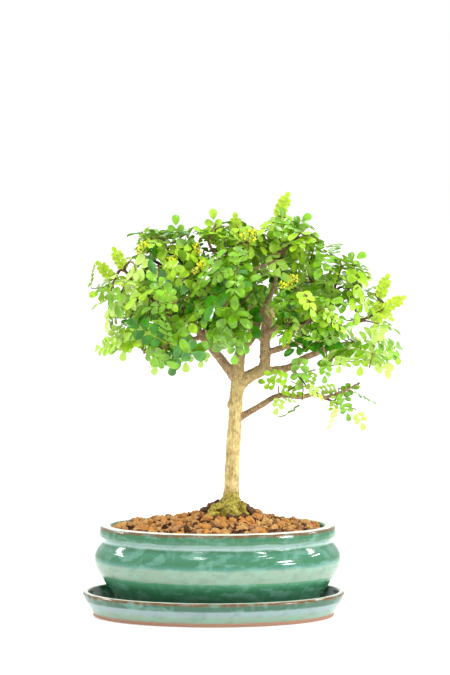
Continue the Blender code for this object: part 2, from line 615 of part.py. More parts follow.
class Foliage:
    """One mass: its twigs, its leaves and its blossom, grown by rule inside its own room."""

    def __init__(self, mass, limb_tree, seed):
        self.mass = mass
        self.space = Space(mass)
        self.limb_tree = limb_tree
        self.rng = random.Random(seed)
        limb = next(bough for bough in BOUGHS if bough.name == mass.limb)
        points, radii = limb_path(limb)
        ahead = (points[-1] - points[-2]).normalized()
        foot = points[-1] + ahead * GAP
        self.stem_radius = radii[-1]
        self.twigs = [Twig([foot, foot + ahead * STEM_LENGTH], None)]
        self.twig_trees = []
        self.leaves = []

    def reach_twig(self, target):
        """Grow a twig to a target and return it, or None where it can't get there."""
        twig = twig_towards(self.twigs, target)
        rings = twig.rings(TWIG_TEST_RADIUS, TWIG_TEST_RADIUS)
        if not self.space.holds([point for ring in rings[1:] for point in ring]):
            return None
        tree = skin_tree([rings])
        if self.limb_tree.overlap(tree) or any(tree.overlap(leaf.tree) for leaf in self.leaves):
            return None
        self.twigs.append(twig)
        self.twig_trees.append(tree)
        return twig

    def leaf_fits(self, leaf):
        """Say whether a leaf stays in the room and crosses no limb, twig or other leaf."""
        if not self.space.holds(leaf.corners):
            return False
        trees = [self.limb_tree, *self.twig_trees, *[other.tree for other in self.leaves]]
        return not any(leaf.tree.overlap(tree) for tree in trees)

    def face_out(self, foot, ahead):
        """Return the way that a leaf's upper face looks: up, and out of the crown."""
        outward = Vector((foot.x - CROWN_AXIS_X, foot.y, 0)).normalized()
        wander = Vector([self.rng.gauss(0, 1) for _ in range(3)])
        up = LEAF_FACING["up"] * UP + LEAF_FACING["outward"] * outward + LEAF_FACING["chance"] * wander
        if up.cross(ahead).length < LEAF_FACING["least_turn"]:
            up = up + ahead.orthogonal()
        return up.normalized()

    def leaf_on(self, twig):
        """Put a leaf on a twig, the first at its end, where it fits with the most room round it."""
        foot = twig.end.lerp(twig.points[-2], LEAF_STEP_BACK * twig.tips)
        outward = (foot - self.space.centre).normalized()
        best, best_room = None, 0.0
        for _ in range(LEAF_TRIES):
            wander = Vector([self.rng.gauss(0, 1) for _ in range(3)])
            way = LEAF_WAY["outward"] * outward + LEAF_WAY["along"] * twig.ahead + LEAF_WAY["chance"] * wander
            way.normalize()
            scale = self.mass.leaf_scale * self.rng.uniform(*LEAF_SCALES)
            leaf = Leaf(foot, way, self.face_out(foot, way), scale)
            room = min([(leaf.middle - other.middle).length for other in self.leaves], default=1.0)
            if room > best_room and self.leaf_fits(leaf):
                best, best_room = leaf, room
        if best:
            self.leaves.append(best)
            twig.tips += 1

    def grow(self):
        """Grow twigs to the reaches, then evenly through the room, and give them their leaves."""
        scale = REACH_LEAF_SCALE * self.mass.leaf_scale
        for tip, way in self.mass.reaches:
            way = Vector(way).normalized()
            twig = self.reach_twig(Vector(tip) - way * LEAF_LENGTH * scale)
            if twig:
                leaf = Leaf(twig.end, way, REACH_FACING if abs(way.y) < 0.5 else UP, scale)
                if self.leaf_fits(leaf):
                    self.leaves.append(leaf)
                    twig.tips += 1
        for spot in self.space.spread(self.rng, round(self.mass.leaves / LEAVES_PER_TWIG), TIP_SPACING):
            self.reach_twig(spot)
        wanted = self.mass.leaves + len(self.mass.reaches)
        for twig in self.twigs[:0:-1] * MOST_LEAVES_ON_TWIG:
            if len(self.leaves) < wanted:
                self.leaf_on(twig)
        self.count_tips()

    def count_tips(self):
        """Count the leaves on and beyond each twig, and drop the twigs that carry none."""
        own = [twig.tips for twig in self.twigs]
        for twig, leaves in zip(self.twigs, own):
            carrier = twig.parent
            while carrier:
                carrier.tips += leaves
                carrier = carrier.parent
        self.twigs = [twig for twig in self.twigs if twig.tips or not twig.parent]

    def build(self, material):
        """Fuse the twigs, the leaves and the blossom into one solid."""
        parts = bpy.data.collections.new(self.mass.name + "_parts")
        bpy.context.scene.collection.children.link(parts)
        stem = None
        for twig in self.twigs:
            bm = bmesh.new()
            foot_radius = min(twig.parent.radius(), self.stem_radius) if twig.parent else self.stem_radius
            loft(bm, twig.rings(foot_radius, min(twig.radius(), foot_radius)))
            if stem:
                make_object("twig", bm, material, parts)
            else:
                stem = make_object(self.mass.name, bm, material)
        for leaf in self.leaves:
            make_object("leaf", leaf.mesh(), material, parts)
        for twig in self.twigs[1:1 + self.mass.blossoms]:
            bm = bmesh.new()
            bmesh.ops.create_icosphere(bm, subdivisions=1, radius=BLOSSOM_RADIUS)
            bmesh.ops.translate(bm, verts=bm.verts, vec=twig.end + UP * BLOSSOM_LIFT)
            make_object("blossom", bm, material, parts)
        join_modifier(stem, "UNION", parts)
        for part in list(parts.objects):
            bpy.data.objects.remove(part, do_unlink=True)
        bpy.data.collections.remove(parts)
        keep_main_body(stem)


def build_foliage(leaf):
    """Make every mass, each in its own room, and clear of every limb."""
    limb_tree = skin_tree([trunk_rings(LIMB_CLEARANCE)] + [limb_rings(limb, LIMB_CLEARANCE) for limb in BOUGHS])
    for seed, mass in enumerate(MASSES, FIRST_SEED):
        foliage = Foliage(mass, limb_tree, seed)
        foliage.grow()
        foliage.build(leaf)


def main():
    """Build the whole plant in its pot."""
    remove_old_objects()
    glaze = make_material("glaze", GLAZE_GREEN, 0.15)
    build_tray(glaze)
    build_pot(glaze)
    build_soil(make_material("soil", SOIL_ORANGE, 0.9))
    build_limbs(make_material("bark", BARK_TAN, 0.8))
    build_foliage(make_material("leaf", LEAF_GREEN, 0.4))


main()
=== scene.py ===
"""Prickly ash bonsai in an oval glazed pot and its drip tray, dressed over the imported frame.

Lengths are in millimetres until a mesh is turned into metres. +X runs to the right along the pot,
+Y goes away from the viewer and +Z is up, as in the frame.
"""

import functools
import itertools
import json
import logging
import math
import random
from collections.abc import Iterable, Sequence
from dataclasses import dataclass, field
from enum import Enum

import bmesh
import bpy
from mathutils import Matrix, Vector, noise
from mathutils.bvhtree import BVHTree
from mathutils.kdtree import KDTree

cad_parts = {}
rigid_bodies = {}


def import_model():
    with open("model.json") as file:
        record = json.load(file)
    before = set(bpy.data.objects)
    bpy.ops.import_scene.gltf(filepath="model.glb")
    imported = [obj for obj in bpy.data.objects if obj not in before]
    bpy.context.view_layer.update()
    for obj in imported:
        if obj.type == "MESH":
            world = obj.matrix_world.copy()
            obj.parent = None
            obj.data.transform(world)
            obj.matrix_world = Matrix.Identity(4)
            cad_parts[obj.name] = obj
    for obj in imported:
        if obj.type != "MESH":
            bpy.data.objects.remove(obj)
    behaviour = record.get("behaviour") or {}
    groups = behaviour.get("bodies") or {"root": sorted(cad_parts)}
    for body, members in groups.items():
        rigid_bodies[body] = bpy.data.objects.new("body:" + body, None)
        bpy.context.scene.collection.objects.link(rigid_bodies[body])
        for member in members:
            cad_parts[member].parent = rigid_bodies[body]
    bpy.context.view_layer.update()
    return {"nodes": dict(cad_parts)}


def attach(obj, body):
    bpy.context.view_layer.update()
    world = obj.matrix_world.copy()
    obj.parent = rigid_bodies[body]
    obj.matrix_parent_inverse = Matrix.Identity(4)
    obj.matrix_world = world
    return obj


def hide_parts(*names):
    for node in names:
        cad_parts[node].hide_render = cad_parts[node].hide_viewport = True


LOG = logging.getLogger("bonsai")
MM = 0.001
GAP = 0.3
TOUCHING = 0.001
UP = Vector((0.0, 0.0, 1.0))
BODY = "root"
GOLDEN_ANGLE = math.radians(137.5)
WANDER_SEED = 7
PROFILE_RUN = "profile_run"
YOUTH_AND_SHADE = "youth"
MOSS = "moss"

Colour = tuple[float, float, float]
Point = tuple[float, float, float]
Range = tuple[float, float]


def srgb(red: int, green: int, blue: int) -> Colour:
    """Turn a colour as a screen shows it, from 0 to 255, into linear light."""
    shares = [part / 255 for part in (red, green, blue)]
    linear = [share / 12.92 if share <= 0.04045 else ((share + 0.055) / 1.055) ** 2.4 for share in shares]
    return linear[0], linear[1], linear[2]


# Shader nodes


class Value:
    """A node's output, on which Python's arithmetic adds Math nodes."""

    def __init__(self, nodes: "NodeTree", socket: bpy.types.NodeSocket) -> None:
        """Wrap a socket of a node tree."""
        self.nodes = nodes
        self.socket = socket

    def calculate(self, operation: str, first: "Value | float", second: "Value | float") -> "Value":
        """Add a Math node.

        Args:
            operation: The Math node's operation.
            first: The first number or output.
            second: The second number or output.

        Returns:
            The result.
        """
        return self.nodes.node("ShaderNodeMath", {"operation": operation}, {0: first, 1: second})

    def __add__(self, other: "Value | float") -> "Value":
        """Return self + other."""
        return self.calculate("ADD", self, other)

    def __radd__(self, other: float) -> "Value":
        """Return other + self."""
        return self.calculate("ADD", other, self)

    def __sub__(self, other: "Value | float") -> "Value":
        """Return self - other."""
        return self.calculate("SUBTRACT", self, other)

    def __rsub__(self, other: float) -> "Value":
        """Return other - self."""
        return self.calculate("SUBTRACT", other, self)

    def __mul__(self, other: "Value | float") -> "Value":
        """Return self * other."""
        return self.calculate("MULTIPLY", self, other)

    def above(self, threshold: float, softness: float) -> "Value":
        """Return 0 under a threshold and 1 over it, with a soft step between."""
        return self.nodes.node("ShaderNodeMapRange", {"interpolation_type": "SMOOTHSTEP"},
                               {0: self, 1: threshold - softness, 2: threshold + softness})


class NodeTree:
    """The nodes of one Principled material."""

    def __init__(self, name: str) -> None:
        """Make a material with its Principled shader.

        Args:
            name: The material's name.
        """
        self.material = bpy.data.materials.new(name)
        self.material.use_nodes = True
        self.tree = self.material.node_tree
        self.shader = self.tree.nodes["Principled BSDF"]

    def feed(self, socket: bpy.types.NodeSocket, value: "Value | float | Sequence[float]") -> None:
        """Give a socket what it takes.

        Args:
            socket: The socket.
            value: A node's output, a number or a colour.
        """
        if isinstance(value, Value):
            self.tree.links.new(value.socket, socket)
        elif socket.type == "RGBA":
            socket.default_value = (*value[:3], 1.0)
        else:
            socket.default_value = value

    def node(self, kind: str, settings: dict | None = None, inputs: dict | None = None,
             output: int = 0) -> Value:
        """Add a node.

        Args:
            kind: The node's type.
            settings: Its properties. "stops" gives a ramp's places and colours.
            inputs: Numbers, colours or links, by the socket's name or number.
            output: Which of its outputs is wanted.

        Returns:
            The wanted output.
        """
        made = self.tree.nodes.new(kind)
        for name, setting in (settings or {}).items():
            if name == "stops":
                elements = made.color_ramp.elements
                while len(elements) < len(setting):
                    elements.new(1.0)
                for element, (place, colour) in zip(elements, setting):
                    element.position = place
                    element.color = (*colour, 1.0)
            else:
                setattr(made, name, setting)
        for key, value in (inputs or {}).items():
            self.feed(made.inputs[key], value)
        return Value(self, made.outputs[output])

    def place(self) -> Value:
        """Return the point on the object, in metres."""
        return self.node("ShaderNodeTexCoord", output=3)

    def stretched(self, scale: Point) -> Value:
        """Return the point on the object, scaled along each axis."""
        return self.node("ShaderNodeMapping", inputs={"Vector": self.place(), "Scale": scale})

    def noise(self, size: float, detail: float = 2.0, where: Value | None = None) -> Value:
        """Return noise from 0 to 1 with blotches of about that many millimetres."""
        inputs = {"Vector": where or self.place(), "Scale": 1.0 / (size * MM), "Detail": detail}
        return self.node("ShaderNodeTexNoise", inputs=inputs)

    def attribute(self, name: str) -> Value:
        """Return a number that is stored on the mesh."""
        return self.node("ShaderNodeAttribute", {"attribute_name": name}, output=2)

    def mix(self, factor: "Value | float", first: "Value | Colour", second: "Value | Colour",
            blend: str = "MIX") -> Value:
        """Mix two colours."""
        return self.node("ShaderNodeMix", {"data_type": "RGBA", "blend_type": blend, "clamp_factor": True},
                         {0: factor, 6: first, 7: second}, output=2)

    def finish(self, colour: "Value | Colour", roughness: "Value | float", height: Value | None = None,
               bump_depth: float = 0.1, **constants: float) -> bpy.types.Material:
        """Feed the Principled shader.

        Args:
            colour: The base colour.
            roughness: The roughness.
            height: What a Bump node raises, from 0 to 1.
            bump_depth: How deep that relief is, in millimetres.
            constants: Sockets that are the same all over, with _ for a space.

        Returns:
            The finished material.
        """
        self.feed(self.shader.inputs["Base Color"], colour)
        self.feed(self.shader.inputs["Roughness"], roughness)
        for name, value in constants.items():
            self.shader.inputs[name.replace("_", " ").title()].default_value = value
        if height:
            relief = {"Strength": 1.0, "Distance": bump_depth * MM, "Height": height}
            self.feed(self.shader.inputs["Normal"], self.node("ShaderNodeBump", inputs=relief))
        return self.material


# Finishes


@dataclass(frozen=True)
class Glaze:
    """A fired glaze with bands of colour along the profile, some of them painted shade, reflection and
    highlights, mottled and run, over a reddish body.
    """

    name: str
    bands: tuple[tuple[float, Colour], ...]
    cloud: Colour = srgb(126, 172, 160)
    pool: Colour = srgb(40, 98, 80)
    speck: Colour = srgb(52, 40, 22)
    bare_until: float = 0.0
    bare_clay: Colour = srgb(168, 126, 102)

    def material(self) -> bpy.types.Material:
        """Mix the glaze.

        Returns:
            Its material.
        """
        nodes = NodeTree(self.name)
        run = nodes.attribute(PROFILE_RUN)
        wander = nodes.noise(16, 3) - 0.5
        streaks = nodes.noise(7, 3, nodes.stretched((1.0, 1.0, 0.3)))
        colour = nodes.node("ShaderNodeValToRGB", {"stops": self.bands},
                            {0: run + wander * 0.014 + (streaks - 0.5) * 0.006})
        clouds = nodes.noise(15, 6, nodes.stretched((1.0, 1.0, 2.4)))
        colour = nodes.mix(clouds.above(0.57, 0.07) * 0.32, colour, self.cloud)
        pools = nodes.noise(9, 6, nodes.stretched((1.0, 1.0, 1.8)))
        colour = nodes.mix(pools.above(0.58, 0.08) * 0.20, colour, self.pool)
        colour = nodes.mix(streaks.above(0.60, 0.10) * 0.20, colour, self.cloud)
        specks = nodes.noise(1.6, 1)
        colour = nodes.mix(specks.above(0.78, 0.02) * 0.5, colour, self.speck)
        bare = 1 - run.above(self.bare_until, 0.0015)
        clay = nodes.mix(nodes.noise(1.2, 3), self.bare_clay, [0.72 * part for part in self.bare_clay])
        colour = nodes.mix(bare, colour, clay)
        roughness = 0.07 + nodes.noise(6, 2) * 0.06 + bare * 0.62
        return nodes.finish(colour, roughness, nodes.noise(3.5, 2), 0.02, coat_weight=0.0)


@dataclass(frozen=True)
class BarkFinish:
    """Bark that goes from tan on the trunk to brown on the young limbs, mossy at the foot. Its darkening high
    on the trunk is partly browner bark and partly painted shade under the crown.
    """

    name: str
    old: Colour = srgb(226, 206, 140)
    old_shade: Colour = srgb(156, 126, 68)
    young: Colour = srgb(164, 134, 96)
    young_shade: Colour = srgb(112, 86, 60)
    dot: Colour = srgb(226, 208, 160)
    moss: Colour = srgb(186, 168, 68)
    moss_shade: Colour = srgb(92, 90, 30)

    def material(self) -> bpy.types.Material:
        """Mix the bark.

        Returns:
            Its material.
        """
        nodes = NodeTree(self.name)
        blotch = nodes.noise(6, 4)
        fibre = nodes.noise(1.4, 4, nodes.stretched((1.0, 1.0, 0.35)))
        # This attribute also carries the painted shade high on the trunk.
        youth = (nodes.attribute(YOUTH_AND_SHADE) + (blotch - 0.5) * 0.35).above(0.5, 0.4)
        light = nodes.mix(youth, self.old, self.young)
        dark = nodes.mix(youth, self.old_shade, self.young_shade)
        colour = nodes.mix((fibre * 0.6 + blotch * 0.6 - 0.1).above(0.5, 0.22), dark, light)
        dots = nodes.noise(1.1, 0).above(0.72, 0.04)
        colour = nodes.mix(dots * 0.55, colour, self.dot)
        moss = (nodes.attribute(MOSS) + (nodes.noise(3, 3) - 0.5) * 0.9).above(0.5, 0.12)
        tufts = (nodes.noise(2.4, 4) * 0.7 + nodes.noise(0.8, 2) * 0.3).above(0.48, 0.12)
        colour = nodes.mix(moss, colour, nodes.mix(tufts, self.moss_shade, self.moss))
        roughness = 0.72 + fibre * 0.2
        return nodes.finish(colour, roughness, fibre * 0.6 + dots * 0.3 + nodes.noise(0.5, 2) * 0.3, 0.16)


@dataclass(frozen=True)
class PlainFinish:
    """A surface of one colour that wanders a little, with a fine relief."""

    name: str
    colour: Colour
    shade: float = 0.85
    roughness: float = 0.6
    grain: float = 2.0
    relief: float = 0.05
    specular: float = 0.5
    patches: float = 0.0

    def material(self) -> bpy.types.Material:
        """Mix the finish.

        Returns:
            Its material.
        """
        nodes = NodeTree(self.name)
        grain = nodes.noise(self.grain, 3)
        lighter = nodes.noise(self.patches, 2).above(0.5, 0.16) if self.patches else grain
        colour = nodes.mix(lighter, [part * self.shade for part in self.colour], self.colour)
        rough = self.roughness + (grain - 0.5) * 0.1
        made = nodes.finish(colour, rough, grain, self.relief)
        nodes.shader.inputs["Specular IOR Level"].default_value = self.specular
        return made


class Tone(Enum):
    """The greens that leaves come in, and a pale green that paints leaves as lit through from behind, each
    with the finish of its upper and its lower face.
    """

    DEEP = (PlainFinish("leaf_deep", srgb(62, 138, 14), 0.50, 0.15, 4.0, 0.03, 0.5, 9.0),
            PlainFinish("leaf_deep_under", srgb(112, 164, 48), 0.90, 0.60, 3.0, 0.03, 0.2))
    MID = (PlainFinish("leaf_mid", srgb(122, 180, 26), 0.54, 0.16, 4.0, 0.03, 0.5, 9.0),
           PlainFinish("leaf_mid_under", srgb(140, 184, 54), 0.90, 0.60, 3.0, 0.03, 0.2))
    FRESH = (PlainFinish("leaf_fresh", srgb(162, 208, 42), 0.66, 0.24, 4.0, 0.03, 0.4, 9.0),
             PlainFinish("leaf_fresh_under", srgb(164, 206, 80), 0.92, 0.60, 3.0, 0.03, 0.2))
    LIME = (PlainFinish("leaf_lime", srgb(180, 212, 52), 0.76, 0.45, 3.0, 0.03, 0.25, 4.0),
            PlainFinish("leaf_lime_under", srgb(212, 232, 70), 0.94, 0.60, 3.0, 0.03, 0.2))
    # A pale green painted as if lit through from behind by the white backdrop, for leaves at the crown's
    # edges.
    PALE = (PlainFinish("leaf_pale", srgb(188, 220, 104), 0.90, 0.45, 4.0, 0.03, 0.25),
            PlainFinish("leaf_backlit_pale_under", srgb(194, 222, 116), 0.94, 0.60, 3.0, 0.03, 0.2))


RIB = PlainFinish("leaf_rib", srgb(146, 164, 50), 0.85, 0.55, specular=0.25)
GREEN_TWIG = PlainFinish("twig_green", srgb(132, 124, 56), 0.75, 0.65, specular=0.25)
BROWN_TWIG = PlainFinish("twig_brown", srgb(112, 84, 60), 0.65, 0.80, 1.5, 0.12, 0.25)
PETAL = PlainFinish("flower_yellow", srgb(230, 232, 50), 0.88, 0.65, 0.8, 0.05, 0.2)
BUD = PlainFinish("flower_bud", srgb(200, 210, 84), 0.88, 0.65, 0.8, 0.05, 0.2)
GRANULES = (
    PlainFinish("granule_orange", srgb(216, 150, 78), 0.58, 0.94, 1.1, 0.8, 0.15),
    PlainFinish("granule_ochre", srgb(216, 168, 104), 0.58, 0.95, 1.1, 0.8, 0.15),
    PlainFinish("granule_tan", srgb(188, 138, 90), 0.58, 0.95, 1.1, 0.8, 0.15),
    PlainFinish("granule_brown", srgb(140, 96, 64), 0.58, 0.96, 1.1, 0.8, 0.15),
    PlainFinish("granule_dark", srgb(92, 64, 46), 0.60, 0.96, 1.1, 0.8, 0.15),
)
SOIL = PlainFinish("soil_bed", srgb(58, 36, 22), 0.6, 0.97, 2.5, 0.6, 0.1)
MOSS_TUFT = PlainFinish("moss_tuft", srgb(192, 170, 60), 0.50, 0.95, 1.0, 0.2, 0.1)
CRUMB = PlainFinish("soil_crumb", srgb(104, 82, 70), 0.55, 0.96, 1.2, 0.5, 0.15)


@functools.cache
def dressed(finish: Glaze | BarkFinish | PlainFinish) -> bpy.types.Material:
    """Return a finish's material, made only once."""
    return finish.material()


# Meshes


class Batch:
    """Collects many small shapes into the arrays of one mesh."""

    def __init__(self) -> None:
        """Start with nothing."""
        self.points: list[Vector] = []
        self.faces: list[tuple[int, ...]] = []
        self.slots: list[int] = []

    def add(self, points: Iterable[Vector], faces: Iterable[Sequence[int]],
            slots: Iterable[int] | int = 0) -> None:
        """Add one shape.

        Args:
            points: Its points.
            faces: Its faces, which count from its own first point.
            slots: The slot of each face, or one for all of them.
        """
        start = len(self.points)
        self.points.extend(points)
        before = len(self.faces)
        self.faces.extend(tuple(start + i for i in face) for face in faces)
        if isinstance(slots, int):
            self.slots.extend([slots] * (len(self.faces) - before))
        else:
            self.slots.extend(slots)

    def piece(self, name: str, finishes: Sequence, sharp: float = 50.0) -> bpy.types.Object:
        """Turn the shapes into one piece.

        Args:
            name: The piece's name.
            finishes: The finish of each slot.
            sharp: The angle in degrees from which an edge stays sharp.

        Returns:
            The piece's object.
        """
        mesh = bpy.data.meshes.new(name)
        mesh.from_pydata([point * MM for point in self.points], [], self.faces)
        for finish in finishes:
            mesh.materials.append(dressed(finish))
        mesh.polygons.foreach_set("material_index", self.slots)
        return settle(name, mesh, sharp)


def put_in_scene(name: str, data: bpy.types.ID) -> bpy.types.Object:
    """Return a new object in the scene."""
    made = bpy.data.objects.new(name, data)
    bpy.context.scene.collection.objects.link(made)
    return made


def settle(name: str, mesh: bpy.types.Mesh, sharp: float) -> bpy.types.Object:
    """Shade a mesh smooth, and put it in the scene on the body.

    Args:
        name: The piece's name.
        mesh: Its mesh, in metres.
        sharp: The angle in degrees from which an edge stays sharp.

    Returns:
        The piece's object.
    """
    mesh.shade_smooth()
    mesh.set_sharp_from_angle(angle=math.radians(sharp))
    made = put_in_scene(name, mesh)
    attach(made, BODY)
    return made


def mesh_of(bm: bmesh.types.BMesh, name: str, scale: float = 1.0) -> bpy.types.Mesh:
    """Turn a bmesh into a mesh, and free it.

    Args:
        bm: The bmesh.
        name: The mesh's name.
        scale: How many times larger the mesh gets.

    Returns:
        The mesh.
    """
    bmesh.ops.scale(bm, vec=(scale, scale, scale), verts=bm.verts)
    mesh = bpy.data.meshes.new(name)
    bm.to_mesh(mesh)
    bm.free()
    return mesh


def place_tree(points: Sequence[Vector]) -> KDTree:
    """Sort points for a search by place.

    Args:
        points: The points.

    Returns:
        A tree that finds the nearest ones and gives their numbers.
    """
    tree = KDTree(len(points))
    for index, point in enumerate(points):
        tree.insert(point, index)
    tree.balance()
    return tree


def within_one(share: float) -> float:
    """Return a share kept from 0 to 1."""
    return min(max(share, 0.0), 1.0)


def smooth_path(knots: Iterable[Sequence[float]], steps: int) -> list[Vector]:
    """Draw a Catmull-Rom curve through knots.

    Args:
        knots: The knots.
        steps: How many points each stretch between two knots gets.

    Returns:
        Points along the curve.
    """
    knots = [Vector(knot) for knot in knots]
    ends = [2 * knots[0] - knots[1], *knots, 2 * knots[-1] - knots[-2]]
    points = []
    for before, start, end, after in zip(ends, ends[1:], ends[2:], ends[3:]):
        for step in range(steps):
            t = step / steps
            points.append(0.5 * (2 * start + (end - before) * t
                                 + (2 * before - 5 * start + 4 * end - after) * t ** 2
                                 + (3 * start - before - 3 * end + after) * t ** 3))
    points.append(knots[-1])
    return points


def runs_along(points: Sequence[Vector]) -> list[float]:
    """Return how far along a path each of its points lies."""
    return [0.0, *itertools.accumulate((after - before).length for before, after in zip(points, points[1:]))]


def path_frames(points: Sequence[Vector]) -> list[tuple[Vector, Vector]]:
    """Carry two sides along a path without a twist.

    Args:
        points: The path.

    Returns:
        The two sides at each point.
    """
    frames = []
    side = (points[1] - points[0]).normalized().orthogonal().normalized()
    for i in range(len(points)):
        ahead = (points[min(i + 1, len(points) - 1)] - points[max(i - 1, 0)]).normalized()
        side = (side - ahead * side.dot(ahead)).normalized()
        frames.append((side, ahead.cross(side)))
    return frames


def tube_rings(points: Sequence[Vector], radii: Sequence[float], sides: int) -> list[list[Vector]]:
    """Draw a round limb along a path.

    Args:
        points: The path.
        radii: The limb's radius at each point.
        sides: How many points a ring gets.

    Returns:
        The rings.
    """
    angles = [math.tau * i / sides for i in range(sides)]
    return [[point + radius * (side * math.cos(a) + other * math.sin(a)) for a in angles]
            for point, radius, (side, other) in zip(points, radii, path_frames(points))]


def tube_arrays(rings: Sequence[Sequence[Vector]]) -> tuple[list[Vector], list[tuple[int, ...]]]:
    """Join rings into a closed tube, with a flat face at each end.

    Args:
        rings: The rings.

    Returns:
        The tube's points and faces.
    """
    sides = len(rings[0])
    faces = [tuple(reversed(range(sides)))]
    for ring in range(len(rings) - 1):
        for i in range(sides):
            j = (i + 1) % sides
            low = ring * sides
            faces.append((low + i, low + j, low + sides + j, low + sides + i))
    faces.append(tuple(range((len(rings) - 1) * sides, len(rings) * sides)))
    return [point for ring in rings for point in ring], faces


def extrude_tube(bm: bmesh.types.BMesh, rings: Sequence[Sequence[Vector]]) -> None:
    """Add a closed tube to a mesh: a disc whose rim is extruded from ring to ring.

    Args:
        bm: The mesh.
        rings: The tube's rings.
    """
    sides = len(rings[0])
    disc = bmesh.ops.create_circle(bm, cap_ends=True, segments=sides, radius=1.0)["verts"]
    rim = list(disc)
    for vert, point in zip(rim, rings[0]):
        vert.co = point
    for ring in rings[1:]:
        edges = [bm.edges.get((rim[i], rim[(i + 1) % sides])) for i in range(sides)]
        fresh = {item for item in bmesh.ops.extrude_edge_only(bm, edges=edges)["geom"]
                 if isinstance(item, bmesh.types.BMVert)}
        rim = [next(edge.other_vert(vert) for edge in vert.link_edges if edge.other_vert(vert) in fresh)
               for vert in rim]
        for vert, point in zip(rim, ring):
            vert.co = point
    bmesh.ops.contextual_create(bm, geom=rim)


# The pot and its tray


@dataclass
class OvalVessel:
    """A turned oval vessel: its profile, how much slimmer it is than long, and its glaze."""

    name: str
    slot: str
    profile: Sequence[tuple[float, float]]
    bands: Sequence[tuple[float, float, Colour]]
    slim: float
    centre_x: float = 0.0
    bare_until: float = 0.0
    steps: int = 180
    smooth_steps: int = 4
    disc_radius: float = 60.0
    sharp: float = 60.0

    def curve(self) -> list[Vector]:
        """Return the profile as a smooth curve."""
        return smooth_path([(half_length, 0, z) for half_length, z in self.profile], self.smooth_steps)

    def glaze(self, points: Sequence[Vector], runs: Sequence[float]) -> Glaze:
        """Turn the bands, which are given by half length and height, into a glaze.

        Args:
            points: The profile's curve.
            runs: How far along it each point lies, from 0 to 1.

        Returns:
            The glaze.
        """
        def run_at(half_length: float, z: float) -> float:
            """Return how far along the profile the point nearest to a place lies."""
            spot = Vector((half_length, 0, z))
            return min(zip(points, runs), key=lambda pair: (pair[0] - spot).length)[1]

        bands = [(run_at(half_length, z), colour) for half_length, z, colour in self.bands]
        bare = run_at(self.profile[2][0], self.bare_until) if self.bare_until else -1.0
        return Glaze(self.name + "_glaze", tuple(bands), bare_until=bare)

    def build(self) -> bpy.types.Object:
        """Spin the profile, press the round into an oval and glaze it.

        Returns:
            The vessel's piece.
        """
        points = self.curve()
        lengths = runs_along(points)
        runs = [length / lengths[-1] for length in lengths]
        closed = [Vector((0, 0, points[0].z)), *points, Vector((0, 0, points[-1].z))]
        bm = bmesh.new()
        verts = [bm.verts.new(point) for point in closed]
        edges = [bm.edges.new(pair) for pair in zip(verts, verts[1:])]
        bmesh.ops.spin(bm, geom=verts + edges, cent=(0, 0, 0), axis=UP, angle=math.tau, steps=self.steps,
                       use_merge=True)
        bmesh.ops.remove_doubles(bm, verts=bm.verts, dist=TOUCHING)
        bmesh.ops.recalc_face_normals(bm, faces=bm.faces)
        tree = place_tree(points)
        layer = bm.verts.layers.float.new(PROFILE_RUN)
        for vert in bm.verts:
            radius = math.hypot(vert.co.x, vert.co.y)
            vert[layer] = runs[tree.find(Vector((radius, 0, vert.co.z)))[1]]
            full = max(radius, self.disc_radius)
            vert.co.y *= (full - self.slim) / full
            vert.co.x += self.centre_x
        mesh = mesh_of(bm, self.name, MM)
        mesh.materials.append(dressed(self.glaze(points, runs)))
        made = settle(self.name + "_glazed", mesh, self.sharp)
        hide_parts(self.name)
        return made


# Near-black green that paints the shade at the pot's foot and in the tray's hollow under the pot.
PAINTED_SHADE_GREEN = srgb(22, 62, 46)
LOW_GREEN = srgb(80, 140, 104)
TRAY_GREEN = srgb(46, 92, 70)
BLUE_RUN = srgb(66, 124, 106)
LEAF_GLAZE = srgb(52, 108, 74)
TEAL_GLAZE = srgb(60, 118, 92)
# Pale celadon glaze; on the pot's lower belly it is partly a painted reflection of the bright floor.
CELADON_AND_REFLECTION = srgb(126, 152, 131)
# Pale blue-grey of the glaze in the groove, with a painted highlight along it.
GROOVE_BLUE_AND_HIGHLIGHT = srgb(158, 188, 176)
LAVENDER = srgb(132, 150, 152)
RIM_BROWN = srgb(98, 70, 34)
# Near-white that paints the highlight along the tops of the rims.
RIM_HIGHLIGHT = srgb(222, 226, 212)
INSIDE_GREEN = srgb(48, 98, 70)

TRAY = OvalVessel(
    "tray", "tray_glaze",
    [(99.3, 0.0), (100.4, 0.5), (100.9, 3.2), (103.3, 7.0), (106.9, 12.6), (109.2, 17.6), (109.1, 19.3),
     (107.9, 20.4), (106.0, 20.5), (104.6, 19.8), (103.2, 15.0), (99.6, 9.0), (94.1, 5.7), (87.1, 5.0)],
    # The tray's pale rim top is a painted highlight and its dark hollow under the pot is painted shade.
    [(99.3, 0.0, CELADON_AND_REFLECTION), (101.0, 3.3, CELADON_AND_REFLECTION), (103.0, 6.6, CELADON_AND_REFLECTION), (105.0, 9.6, LAVENDER),
     (106.9, 12.6, LAVENDER), (108.0, 14.6, TRAY_GREEN), (109.1, 17.2, TRAY_GREEN), (109.2, 18.2, RIM_BROWN),
     (108.6, 20.0, RIM_BROWN), (107.4, 20.5, RIM_HIGHLIGHT), (105.8, 20.4, RIM_HIGHLIGHT), (104.6, 19.4, INSIDE_GREEN),
     (94.1, 5.7, PAINTED_SHADE_GREEN), (87.1, 5.0, PAINTED_SHADE_GREEN)],
    slim=28.0, bare_until=3.3)
